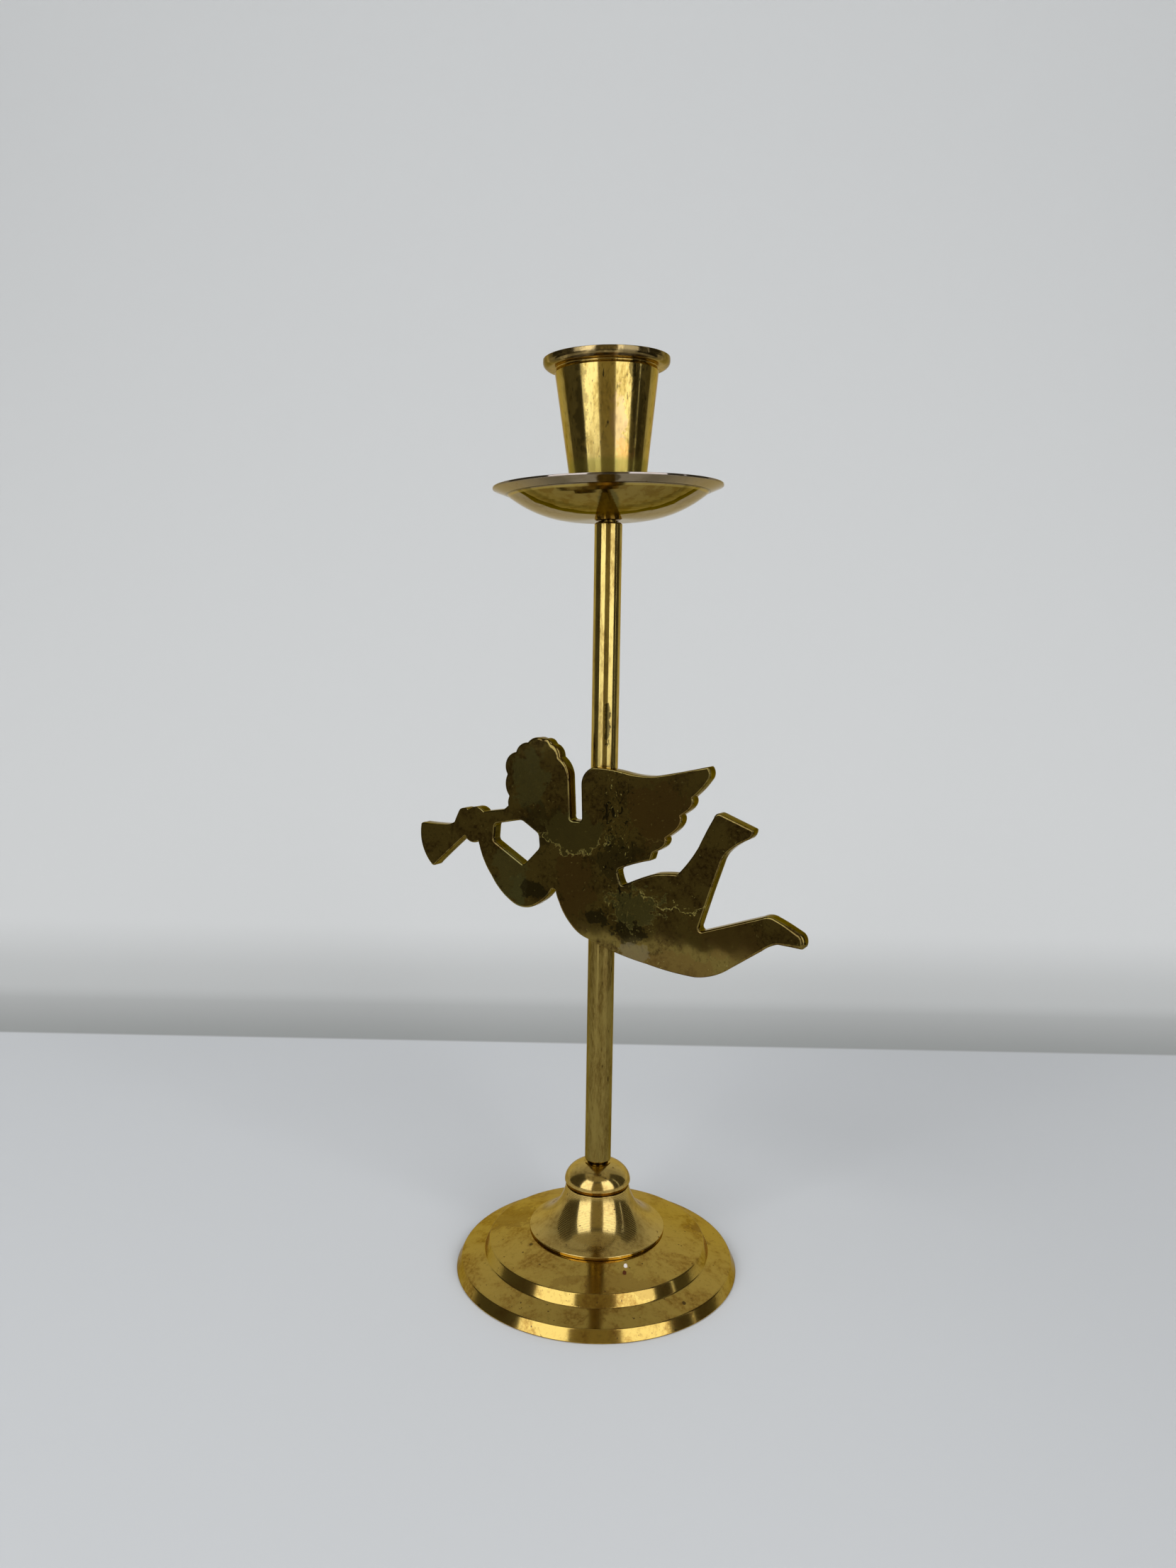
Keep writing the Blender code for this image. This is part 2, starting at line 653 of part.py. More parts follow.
def centre_footprint(parts):
    """Put the middle of the whole width and depth over the origin."""
    pieces = [piece for piece in parts.objects if piece.type == "MESH"]
    corners = [piece.matrix_world @ vertex.co for piece in pieces for vertex in piece.data.vertices]
    middle_x = (min(c.x for c in corners) + max(c.x for c in corners)) / 2.0
    middle_y = (min(c.y for c in corners) + max(c.y for c in corners)) / 2.0
    for item in parts.objects:
        if item.parent is None:
            item.location.x -= middle_x
            item.location.y -= middle_y


def build():
    clear_scene()
    parts = new_collection("angel_candle_holder")
    cutters = new_collection("cutters")
    foot_brass = metal("foot_brass", (0.52, 0.38, 0.12), 0.30)
    collar_brass = metal("collar_brass", (0.60, 0.44, 0.14), 0.18)
    rod_brass = metal("rod_brass", (0.50, 0.37, 0.12), 0.22)
    pan_brass = metal("pan_brass", (0.42, 0.31, 0.12), 0.25)
    cup_brass = metal("cup_brass", (0.58, 0.42, 0.12), 0.20)
    angel_brass = metal("angel_brass", (0.36, 0.28, 0.10), 0.22)
    screw_brass = metal("screw_brass", (0.55, 0.42, 0.18), 0.35)
    figure_mount = add_empty("figure_mount", parts, (0.0, 0.0, 0.0), (0.0, 0.0, -FIGURE_TURN))
    top_seat = add_empty("top_seat", parts, (0.0, 0.0, ROD_TOP), (TOP_NOD, -TOP_TILT, 0.0))
    bpy.context.view_layer.update()
    make_foot(parts, foot_brass)
    make_bell(parts, collar_brass)
    make_ball(parts, collar_brass)
    rod = make_rod(parts, rod_brass)
    drill_rod(rod, cutters, figure_mount)
    make_washer(parts, screw_brass)
    make_nut(parts, cutters, screw_brass)
    make_pan(parts, pan_brass, top_seat)
    make_cup(parts, cup_brass, top_seat)
    make_figure(parts, cutters, angel_brass, figure_mount)
    for name, height in zip(("angel_screw_lower", "angel_screw_upper"), SCREW_HEIGHTS):
        make_screw(name, height, parts, cutters, screw_brass, figure_mount)
    bpy.context.view_layer.update()
    for piece in parts.objects:
        if piece.type == "MESH":
            smooth_round_faces(piece)
    centre_footprint(parts)
    bpy.context.view_layer.update()


build()
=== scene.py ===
# %% [markdown]
# # A brass candlestick with a trumpeting angel
# The holder is turned brass: a stepped foot, two collars, a slim rod, a drip pan and a cup.
# A flat cast angel is screwed to the rod. The solids come first, as a frame of true sizes,
# and every visible piece but the screws, washer and nut is then made again here as a fine
# surface that sits on that frame.

# %% Load the frame
import math

import bpy
import numpy as np
from mathutils import Matrix, Vector
from mathutils.geometry import delaunay_2d_cdt


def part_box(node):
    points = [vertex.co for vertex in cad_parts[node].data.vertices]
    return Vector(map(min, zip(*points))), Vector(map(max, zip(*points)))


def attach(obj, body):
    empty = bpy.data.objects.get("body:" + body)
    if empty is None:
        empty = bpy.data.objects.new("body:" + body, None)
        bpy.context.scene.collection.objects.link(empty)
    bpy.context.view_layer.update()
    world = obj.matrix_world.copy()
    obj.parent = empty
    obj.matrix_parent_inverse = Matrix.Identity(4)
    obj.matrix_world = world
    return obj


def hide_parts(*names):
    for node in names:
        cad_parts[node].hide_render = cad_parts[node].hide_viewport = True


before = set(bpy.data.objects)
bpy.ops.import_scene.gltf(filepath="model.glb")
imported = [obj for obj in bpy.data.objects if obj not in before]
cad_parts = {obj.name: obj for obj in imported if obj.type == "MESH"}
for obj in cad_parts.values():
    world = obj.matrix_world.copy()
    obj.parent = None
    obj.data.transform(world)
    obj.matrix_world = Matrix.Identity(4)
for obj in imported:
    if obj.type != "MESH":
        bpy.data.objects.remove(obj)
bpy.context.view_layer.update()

# %% [markdown]
# ## Reading the frame
# All turned pieces share one upright axis, the middle of the foot. Heights come from the
# boxes of the solids, so a piece made here lands on the piece that carries it. The pan and
# the cup lean a little to the left and forward, as on the real holder, about the rod's top.

# %% Axis and seats
foot_low, foot_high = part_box("foot")
bell_low, bell_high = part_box("bell_collar")
ball_low, ball_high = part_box("ball_collar")
rod_low, rod_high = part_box("rod")
axis_x = (foot_low.x + foot_high.x) / 2.0
axis_y = (foot_low.y + foot_high.y) / 2.0
foot_radius = (foot_high.x - foot_low.x) / 2.0
foot_top = foot_high.z
bell_bottom, bell_top = bell_low.z, bell_high.z
ball_bottom, ball_top = ball_low.z, ball_high.z
seat_gap = bell_bottom - foot_top
rod_radius = (rod_high.y - rod_low.y) / 2.0
rod_bottom = ball_top + seat_gap
sheet = 0.0011
pin_grip = 0.0050
rod_top = rod_high.z - pin_grip - sheet - 2.0 * seat_gap
lean = math.radians(1.64)
nod = math.radians(0.8)
figure_turn = math.radians(28.0)
print("axis", axis_x, axis_y, "rod from", rod_bottom, "to", rod_top)


# %% [markdown]
# ## Turned surfaces
# On a lathe a shape is one profile carried round an axis. The same idea makes the mesh: a
# list of corners is first softened, because a real edge is never a perfect corner, and the
# profile is then swept round in a few hundred steps. The UV map runs along the profile in u
# and round the axis in v, so a material can tell the direction of the tool marks.

# %% Soften a profile and sweep it round
def softened(corners, cut=0.00012, steps=5):
    """Profile with each corner cut back by up to cut and bridged by a small curve.

    The bridge is B(t) = (1-t)^2 A + 2t(1-t) C + t^2 D, with C the corner and A and D the
    points where it is cut back. A point just outside A and D keeps the flats flat.
    """
    c = np.asarray(corners, float)
    before, after = c[1:-1] - c[:-2], c[2:] - c[1:-1]
    near = np.linalg.norm(before, axis=1, keepdims=True)
    far = np.linalg.norm(after, axis=1, keepdims=True)
    reach = np.minimum(cut, 0.4 * np.minimum(near, far))
    a = c[1:-1] - before / near * reach
    d = c[1:-1] + after / far * reach
    t = np.linspace(0.0, 1.0, steps)[None, :, None]
    curve = (1 - t) ** 2 * a[:, None] + 2 * t * (1 - t) * c[1:-1, None] + t ** 2 * d[:, None]
    guard_a = (a - before / near * reach * 0.25)[:, None]
    guard_d = (d + after / far * reach * 0.25)[:, None]
    rows = np.concatenate([guard_a, curve, guard_d], axis=1).reshape(-1, 2)
    return np.concatenate([c[:1], rows, c[-1:]])


def swept_arc(start, end, sag, steps):
    """Points from start to end on a circular arc that bows left of the way by sag."""
    start, end = np.asarray(start, float), np.asarray(end, float)
    chord = end - start
    length = np.hypot(*chord)
    left = np.array([-chord[1], chord[0]]) / length
    half = 2.0 * math.atan(2.0 * abs(sag) / length)
    radius = length / 2.0 / math.sin(half)
    angle = np.linspace(-half, half, steps)
    along = radius * np.sin(angle)[:, None] * chord / length
    rise = (np.cos(angle)[:, None] - math.cos(half)) * radius * math.copysign(1.0, sag)
    return (start + end) / 2.0 + along + rise * left


def as_mesh(name, points, faces, corner_uv):
    """Mesh from an array of points, a list of faces and one (u, v) for each face corner."""
    mesh = bpy.data.meshes.new(name)
    mesh.from_pydata(points.tolist(), [], faces)
    layer = mesh.uv_layers.new(name="sweep")
    layer.data.foreach_set("uv", np.asarray(corner_uv, np.float32).ravel())
    mesh.shade_smooth()
    mesh.update()
    return mesh


def revolved(name, profile, steps=256, ring=True):
    """Mesh of point(i, j) = (r_i cos a_j, r_i sin a_j, z_i), with a_j once round the axis.

    The profile runs down the outer side. A ring closes from its last point to its first. Any
    other profile starts and ends on the axis: there a row of points shrinks to one pole, with
    a fan of triangles round it.
    """
    p = np.asarray(profile, float)
    rows = len(p)
    turn = np.arange(steps) * (math.tau / steps)
    grid = np.empty((rows, steps, 3))
    grid[..., 0] = p[:, 0, None] * np.cos(turn)
    grid[..., 1] = p[:, 0, None] * np.sin(turn)
    grid[..., 2] = p[:, 1, None]
    along = np.concatenate([[0.0], np.cumsum(np.hypot(*np.diff(p, axis=0).T))]) * 100.0
    index = np.arange(rows * steps).reshape(rows, steps)
    first, last = (0, rows) if ring else (1, rows - 2)
    i = np.arange(first, last)
    below = (i + 1) % rows
    j = np.arange(steps)
    side = (j + 1) % steps
    quads = np.stack([index[i][:, j], index[below][:, j], index[below][:, side], index[i][:, side]], -1)
    step_u = np.where(below == 0, along[-1] + 0.1, along[below])
    u = np.stack([along[i], step_u, step_u, along[i]], -1)[:, None, :].repeat(steps, 1)
    v = (np.stack([j, j, j + 1, j + 1], -1) / steps)[None].repeat(len(i), 0)
    uv = [np.stack([u, v], -1).reshape(-1, 2)]
    parts = [quads.reshape(-1, 4)]
    points, number = grid.reshape(-1, 3), np.arange(rows * steps)
    if not ring:
        left, middle, right = j / steps, (j + 0.5) / steps, (j + 1) / steps
        parts.append(np.stack([index[0][j], index[1][j], index[1][side]], -1))
        parts.append(np.stack([index[-2][j], index[-1][j], index[-2][side]], -1))
        for order, turns in (([0, 1, 1], [middle, left, right]), ([-2, -1, -2], [left, middle, right])):
            u = np.broadcast_to(along[order], (steps, 3))
            uv.append(np.stack([u, np.stack(turns, -1)], -1).reshape(-1, 2))
        number[index[0]], number[index[-1]] = index[0][0], index[-1][0]
        kept, number = np.unique(number, return_inverse=True)
        points = points[kept]
    faces = [face for part in parts for face in number[part].tolist()]
    return as_mesh(name, points, faces, np.concatenate(uv))


# %% [markdown]
# ## Putting a piece on the frame
# A finished piece sits at the world's origin with its place in its mesh. It rides on the
# only body that this holder has and stands for one of the solids, which is hidden.

# %% Place, ride and replace
lathe_axis = Matrix.Translation((axis_x, axis_y, 0.0))
tilt = Matrix.Rotation(-lean, 4, "Y") @ Matrix.Rotation(nod, 4, "X")
top_seat = lathe_axis @ Matrix.Translation((0.0, 0.0, rod_top)) @ tilt
figure_mount = lathe_axis @ Matrix.Rotation(-figure_turn, 4, "Z")


def closed_volume(mesh):
    """Volume in mm3 by the sum of a . (b x c) / 6 over all triangles, and the open edges."""
    mesh.calc_loop_triangles()
    corners = np.empty(len(mesh.loop_triangles) * 3, np.int32)
    mesh.loop_triangles.foreach_get("vertices", corners)
    place = np.empty(len(mesh.vertices) * 3, np.float32)
    mesh.vertices.foreach_get("co", place)
    a, b, c = place.reshape(-1, 3)[corners.reshape(-1, 3)].astype(float).transpose(1, 0, 2)
    volume = np.einsum("ij,ij->", a, np.cross(b, c)) / 6.0 * 1e9
    sides = np.sort(np.stack([corners, np.roll(corners.reshape(-1, 3), -1, 1).ravel()], -1), axis=1)
    shared = np.unique(sides, axis=0, return_counts=True)[1]
    return f"{volume:.0f} mm3,", f"{int((shared != 2).sum())} open edges"


def add_piece(name, mesh, place, material, node):
    """Stand a mesh at its place, let it ride, and hide the solid that it replaces."""
    mesh.transform(place)
    mesh.materials.append(material)
    piece = bpy.data.objects.new(name, mesh)
    bpy.context.scene.collection.objects.link(piece)
    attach(piece, "root")
    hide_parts(node)
    print(name, len(mesh.polygons), "faces,", *closed_volume(mesh))
    return piece


# %% [markdown]
# ## Brass
# Old lacquered brass is a warm metal under a thin, uneven film. Clean brass is yellow, the
# film is brown or olive, and it lies in soft clouds with small dark specks. So the colour is
# a mix of three tones by noise, the film is also rougher, and a faint bump scatters light.
# Turned pieces have fine marks round the axis, which smear a reflection along the profile:
# that is what anisotropy does, with its tangent read from the UV map.

# %% A small helper for shader nodes
class Recipe:
    """Short names for the nodes that the brasses are made of."""

    def __init__(self, name):
        self.material = bpy.data.materials.new(name)
        self.material.use_nodes = True
        self.tree = self.material.node_tree
        self.shader = self.tree.nodes["Principled BSDF"]
        self.place = self.tree.nodes.new("ShaderNodeTexCoord").outputs["Object"]
        self.crust = None
        self.dull = None

    def link(self, out, socket):
        """Join an output to an input."""
        self.tree.links.new(out, socket)

    def mapped(self, scale):
        """Object coordinates, stretched or squeezed along the world's axes."""
        node = self.tree.nodes.new("ShaderNodeMapping")
        node.inputs["Scale"].default_value = scale
        self.link(self.place, node.inputs["Vector"])
        return node.outputs["Vector"]

    def local(self, place, size=(1.0, 1.0, 1.0)):
        """Coordinates in the drawing of a piece that stands at place, in units of size."""
        node = self.tree.nodes.new("ShaderNodeMapping")
        node.vector_type = "TEXTURE"
        node.inputs["Location"].default_value = place.to_translation()
        node.inputs["Rotation"].default_value = place.to_euler()
        node.inputs["Scale"].default_value = size
        self.link(self.place, node.inputs["Vector"])
        return node.outputs["Vector"]

    def length(self, vector):
        """Length of a vector, whatever its unit."""
        node = self.tree.nodes.new("ShaderNodeVectorMath")
        node.operation = "LENGTH"
        self.link(vector, node.inputs[0])
        return node.outputs["Value"]

    def blot(self, place, centre, size, ragged=0.5, edge=0.10, grain=0.0025):
        """1 inside a ragged ellipsoid and 0 outside; centre and size are in millimetres."""
        half = tuple(0.001 * side for side in size)
        away = self.length(self.local(place @ Matrix.Translation(Vector(centre) * 0.001), half))
        wave = self.math("MULTIPLY", self.math("SUBTRACT", self.noise(grain, 8.0, 0.68), 0.5), 4.0 * ragged)
        return self.ramp(self.math("ADD", away, wave), 1.0 + edge, 1.0 - edge)

    def rim(self, mask):
        """1 along the edge of a mask, where it passes a half."""
        return self.ramp(self.math("MULTIPLY", mask, self.math("SUBTRACT", 1.0, mask)), 0.06, 0.20)

    def along(self, place, axis="Z"):
        """Metres along one axis of the drawing of a piece that stands at place."""
        node = self.tree.nodes.new("ShaderNodeSeparateXYZ")
        self.link(self.local(place), node.inputs[0])
        return node.outputs[axis]

    def height(self, place, low, high, axis="Z"):
        """0 below low and 1 above high, in metres along an axis of place."""
        return self.ramp(self.along(place, axis), low, high)

    def ring(self, place, low, high, soft=0.0002):
        """1 between two distances from the axis of place, in metres."""
        flat = self.tree.nodes.new("ShaderNodeVectorMath")
        flat.operation = "MULTIPLY"
        flat.inputs[1].default_value = (1.0, 1.0, 0.0)
        self.link(self.local(place), flat.inputs[0])
        away = self.length(flat.outputs["Vector"])
        outer = self.ramp(away, high + soft, high - soft)
        return self.math("MULTIPLY", self.ramp(away, low - soft, low + soft), outer)

    def both(self, first, second):
        """1 where both masks are 1."""
        return self.math("MULTIPLY", first, second)

    def without(self, mask):
        """The mask turned round: 1 where it was 0."""
        return self.math("SUBTRACT", 1.0, mask)

    def paint(self, mask, color, share=1.0, crust=0.0):
        """Lay a colour where the mask is 1; crust tells how much of it is dull matter."""
        self.tone = self.mix(self.math("MULTIPLY", mask, share), self.tone, color)
        if crust:
            layer = self.math("MULTIPLY", mask, crust)
            self.crust = layer if self.crust is None else self.math("MAXIMUM", self.crust, layer)

    def shade(self, mask, factor):
        """Multiply the present tone by a factor where the mask is 1."""
        self.tone = self.mix(mask, self.tone, (factor, factor, factor), "MULTIPLY")

    def noise(self, size, detail=4.0, rough=0.55, distort=0.0, vector=None):
        """Noise whose blobs are about size metres across."""
        node = self.tree.nodes.new("ShaderNodeTexNoise")
        node.inputs["Scale"].default_value = 1.0 / size
        node.inputs["Detail"].default_value = detail
        node.inputs["Roughness"].default_value = rough
        node.inputs["Distortion"].default_value = distort
        self.link(vector or self.place, node.inputs["Vector"])
        return node.outputs["Fac"]

    def ramp(self, value, low, high):
        """Map low..high to 0..1 with soft ends, clamped."""
        node = self.tree.nodes.new("ShaderNodeMapRange")
        node.interpolation_type = "SMOOTHSTEP"
        node.inputs["From Min"].default_value = low
        node.inputs["From Max"].default_value = high
        self.link(value, node.inputs["Value"])
        return node.outputs["Result"]

    def math(self, operation, a, b):
        """One step of arithmetic on numbers or outputs."""
        node = self.tree.nodes.new("ShaderNodeMath")
        node.operation = operation
        for value, socket in ((a, node.inputs[0]), (b, node.inputs[1])):
            if isinstance(value, (int, float)):
                socket.default_value = value
            else:
                self.link(value, socket)
        return node.outputs[0]

    def mix(self, factor, a, b, blend="MIX"):
        """Colour a, blended with colour b where the factor is 1."""
        node = self.tree.nodes.new("ShaderNodeMix")
        node.data_type = "RGBA"
        node.blend_type = blend
        self.link(factor, node.inputs["Factor"])
        for value, socket in ((a, node.inputs[6]), (b, node.inputs[7])):
            if isinstance(value, tuple):
                socket.default_value = (*value, 1.0)
            else:
                self.link(value, socket)
        return node.outputs[2]

    def bump(self, height, distance):
        """Relief of the shading alone: the height's full range is distance, in metres."""
        node = self.tree.nodes.new("ShaderNodeBump")
        node.inputs["Distance"].default_value = distance
        node.inputs["Strength"].default_value = 1.0
        self.link(height, node.inputs["Height"])
        self.link(node.outputs["Normal"], self.shader.inputs["Normal"])

    def spread_along_profile(self, amount):
        """Tool marks round the axis spread light along u of the UV map."""
        node = self.tree.nodes.new("ShaderNodeTangent")
        node.direction_type = "UV_MAP"
        node.uv_map = "sweep"
        self.link(node.outputs["Tangent"], self.shader.inputs["Tangent"])
        self.shader.inputs["Anisotropic"].default_value = amount


# %% One function for all the brasses
def brass(name, clean, film, stain, film_share=(0.42, 0.62), rough=(0.10, 0.16), spread=0.0,
          cloud=0.012, speck=0.0011, speck_share=(0.68, 0.73), grain=0.000002, stretch=1.0, mottle=0.80):
    """Metal of three tones: clean, under a film in clouds, and stained in small specks."""
    r = Recipe(name)
    r.shader.inputs["Metallic"].default_value = 1.0
    r.shader.inputs["Specular Tint"].default_value = (0.80, 0.66, 0.40, 1.0)
    grown = r.mapped((1.0, 1.0, 1.0 / stretch))
    clouds = r.ramp(r.noise(cloud, 6.0, 0.62, 0.4, grown), *film_share)
    fine = r.noise(cloud / 8.0, 5.0, 0.65, 0.0, grown)
    patchy = r.math("MULTIPLY", clouds, r.ramp(fine, 0.25, 0.62))
    specks = r.ramp(r.noise(speck, 3.0, 0.5, 0.0, grown), *speck_share)
    r.tone = r.mix(patchy, clean, film)
    r.paint(specks, stain)
    r.shade(r.ramp(fine, 0.52, 0.70), mottle)
    dull = r.math("MULTIPLY_ADD", patchy, rough[1] - rough[0])
    dull.node.inputs[2].default_value = rough[0]
    r.dull = dull
    r.bump(fine, grain)
    if spread:
        r.spread_along_profile(spread)
    return r


def finish(recipe):
    """Join the last tone to the shader; crust is less metallic and rougher."""
    recipe.link(recipe.tone, recipe.shader.inputs["Base Color"])
    if recipe.crust is not None:
        recipe.link(recipe.without(recipe.crust), recipe.shader.inputs["Metallic"])
        recipe.dull = recipe.math("ADD", recipe.dull, recipe.math("MULTIPLY", recipe.crust, 0.5))
    if recipe.dull is not None:
        recipe.link(recipe.dull, recipe.shader.inputs["Roughness"])
    return recipe.material


# %% [markdown]
# ### Foot, collars and rod
# The foot is the dullest of the turned pieces: brown clouds on its flats, a few dark specks,
# one chipped pale spot. The collars are cleaner. The rod's film lies in long upright streaks.

# %% Finishes of the foot, the collars and the rod
foot = brass("foot_brass", (0.50, 0.33, 0.068), (0.34, 0.19, 0.034), (0.14, 0.08, 0.025),
             film_share=(0.44, 0.60), rough=(0.12, 0.18), spread=0.4, cloud=0.008)
chip, grime, rust = (0.85, 0.80, 0.76), (0.12, 0.07, 0.02), (0.16, 0.05, 0.02)
for centre, size, ragged, color, share in (
    ((29.0, 4.5, 7.5), (4.5, 2.6, 4.0), 0.9, (0.26, 0.14, 0.04), 0.7),
    ((-23.0, 6.0, 8.5), (7.0, 6.0, 4.0), 1.1, (0.28, 0.16, 0.04), 0.6),
    ((6.0, -25.0, 8.5), (16.0, 3.0, 4.0), 1.2, (0.34, 0.20, 0.04), 0.5),
):
    foot.paint(foot.blot(lathe_axis, centre, size, ragged, 0.05), color, share)
fine_grain = 0.0006
for centre, size, ragged, color, crust in (
    ((7.6, -19.1, 9.9), (0.5, 0.7, 3.0), 0.5, chip, 0.8),
    ((7.3, -21.6, 9.0), (0.5, 0.8, 3.0), 0.3, rust, 0.0),
    ((22.4, -25.6, 4.5), (0.5, 0.6, 3.0), 0.3, grime, 0.0),
    ((-17.4, -9.8, 9.8), (0.5, 0.5, 3.0), 0.3, grime, 0.0),
):
    foot.paint(foot.blot(lathe_axis, centre, size, ragged, 0.2, fine_grain), color, 1.0, crust)
foot_brass = finish(foot)

collar = brass("collar_brass", (0.58, 0.40, 0.11), (0.44, 0.28, 0.07), (0.18, 0.10, 0.03),
               rough=(0.14, 0.18), spread=0.5, cloud=0.007)
collar_brass = finish(collar)

stem = brass("rod_brass", (0.56, 0.40, 0.10), (0.36, 0.23, 0.05), (0.10, 0.06, 0.015),
             film_share=(0.40, 0.58), rough=(0.12, 0.17), spread=1.0, cloud=0.004, stretch=4.0,
             speck=0.0008)
# Painted shade: the rod is darker below the angel.
stem.shade(stem.without(stem.height(lathe_axis, 0.095, 0.125)), 0.52)
stem.shade(stem.blot(lathe_axis, (0.6, -3.5, 148.0), (0.7, 2.0, 5.0), 1.0), 0.25)
rod_brass = finish(stem)

# %% [markdown]
# ### Pan and cup
# Under the pan the film is greyer than elsewhere. In front the bowl has a painted reflection of
# the yellow foot, with a painted dark border, a painted shade near the seat, a painted reflection
# of the rod and a painted shadow on the flange. A dark line runs along the crease. The cup has
# painted dark stripes on both sides where it mirrors the dark room, a small dark spot, a pink and
# an orange tarnish on one side, a brown lip and a dull ring near its foot.

# %% Finishes of the pan and the cup
pan_radius, pan_seat, bowl_radius, bowl_depth = 0.0292, 0.0064, 0.0257, 0.0068
pan = brass("pan_brass", (0.36, 0.31, 0.245), (0.29, 0.235, 0.175), (0.14, 0.09, 0.04),
                  rough=(0.08, 0.13), spread=0.2, film_share=(0.40, 0.66))
wavy = pan.math("MULTIPLY", pan.math("SUBTRACT", pan.noise(0.006), 0.5), 0.003)
# Painted reflection of the foot: the front of the bowl is yellow and mottled, as the golden foot would show
# in it.
edge_line = pan.ramp(pan.math("ADD", pan.along(top_seat, "Y"), wavy), -0.0112, -0.0150)
bowl_ring = pan.ring(top_seat, 0.0, bowl_radius - 0.0002)
painted_foot_reflection = pan.both(edge_line, bowl_ring)
pan.paint(painted_foot_reflection, (0.30, 0.20, 0.030), 0.9)
mirrored_mottles = pan.ramp(pan.noise(0.003, 6.0, 0.65, 0.5), 0.48, 0.60)
pan.paint(pan.both(painted_foot_reflection, mirrored_mottles), (0.20, 0.11, 0.02), 0.6)
# Painted shade: the bowl is darker near its seat, over the pale glow it would show there.
pan.shade(pan.ring(top_seat, 0.0, 0.0105, 0.003), 0.62)
# Painted reflection: a dark border round the mirrored foot.
painted_reflection_border = pan.ramp(pan.rim(edge_line), 0.0, 0.5)
pan.paint(pan.both(painted_reflection_border, bowl_ring), (0.05, 0.032, 0.010), 0.95)
for low, high, soft, color, share in (
    (-0.0001, 0.0003, 0.0001, (0.05, 0.03, 0.01), 0.9),
    (-0.0008, -0.0003, 0.0001, (0.62, 0.46, 0.12), 0.5),
    (0.0005, 0.0243, 0.0002, (0.29, 0.225, 0.14), 0.6),
):
    pan.paint(pan.ring(top_seat, bowl_radius + low, bowl_radius + high, soft), color, share)
shadow = pan.blot(top_seat, (0.0, -27.5, 8.0), (2.9, 2.0, 4.0), 0.15, 0.15)
pan.shade(shadow, 0.32)
# Painted reflection of the rod: a dark olive patch in the bowl in front of it.
cone = pan.blot(top_seat, (0.0, -17.5, 3.0), (2.6, 8.0, 6.0), 0.15, 0.15)
pan.paint(cone, (0.13, 0.105, 0.035), 0.85)
pan_brass = finish(pan)

cup = brass("cup_brass", (0.60, 0.42, 0.105), (0.42, 0.27, 0.05), (0.10, 0.07, 0.02),
                  film_share=(0.42, 0.58), rough=(0.12, 0.19), spread=0.4, cloud=0.006, stretch=3.0,
                  speck=0.0007, speck_share=(0.64, 0.74), mottle=0.62)
for centre, size, color, share in (
    ((2.6, -10.8, 23.0), (2.0, 4.0, 7.0), (0.56, 0.36, 0.13), 0.7),
    ((3.9, -9.4, 15.0), (2.2, 4.0, 3.6), (0.66, 0.34, 0.07), 0.6),
):
    cup.paint(cup.blot(top_seat, centre, size, 0.9), color, share)
# Painted reflection: dark upright stripes on both sides of the cup, where it mirrors the dark room beyond
# the panels, and a small dark spot under the lip.
for centre, size, ragged, edge, factor in (
    ((-6.3, -9.8, 26.0), (1.2, 4.0, 13.0), 1.1, 0.3, 0.55),
    ((7.6, -8.4, 26.0), (1.4, 4.0, 14.0), 1.1, 0.3, 0.5),
    ((6.2, -11.2, 35.0), (0.9, 2.0, 2.0), 0.6, 0.10, 0.35),
):
    cup.shade(cup.blot(top_seat, centre, size, ragged, edge), factor)
cup.paint(cup.height(top_seat, 0.0158, 0.0138), (0.36, 0.28, 0.05), 0.8, 0.05)
lip_film = cup.ramp(cup.noise(0.003, 5.0, 0.6), 0.36, 0.52)
on_lip = cup.height(top_seat, 0.0372, 0.0378)
cup.paint(on_lip, (0.42, 0.29, 0.11), 0.8)
cup.shade(cup.both(on_lip, lip_film), 0.45)
cup_brass = finish(cup)

# %% [markdown]
# ### The angel
# Its face has the thickest film: dark olive and brown, sage where it is thin, with ragged
# tide lines where liquid once dried, pits in an upright band and a few dark stains.

# %% Finish of the angel
thickness = 0.0038
figure_height = 0.1146
figure_offset = -0.0003
figure_middle = rod_radius + seat_gap + thickness / 2.0
plate_place = figure_mount @ Matrix.Translation((figure_offset, -figure_middle, figure_height))

plate = brass("angel_brass", (0.21, 0.150, 0.036), (0.115, 0.072, 0.018), (0.05, 0.03, 0.01),
              film_share=(0.44, 0.58), rough=(0.05, 0.09), cloud=0.007, speck=0.0007,
              grain=0.0000005, mottle=0.55)
sage, brown = (0.150, 0.135, 0.040), (0.175, 0.105, 0.026)
dark, pale = (0.055, 0.042, 0.014), (0.55, 0.46, 0.13)
deep = 9.0


def on_plate(x, z, wide, high, ragged=0.8, grain=0.0035, edge=0.04):
    """Ragged patch on the figure, placed on its drawing in millimetres."""
    return plate.blot(plate_place, (x, 0.0, z), (wide, deep, high), ragged, edge, grain)


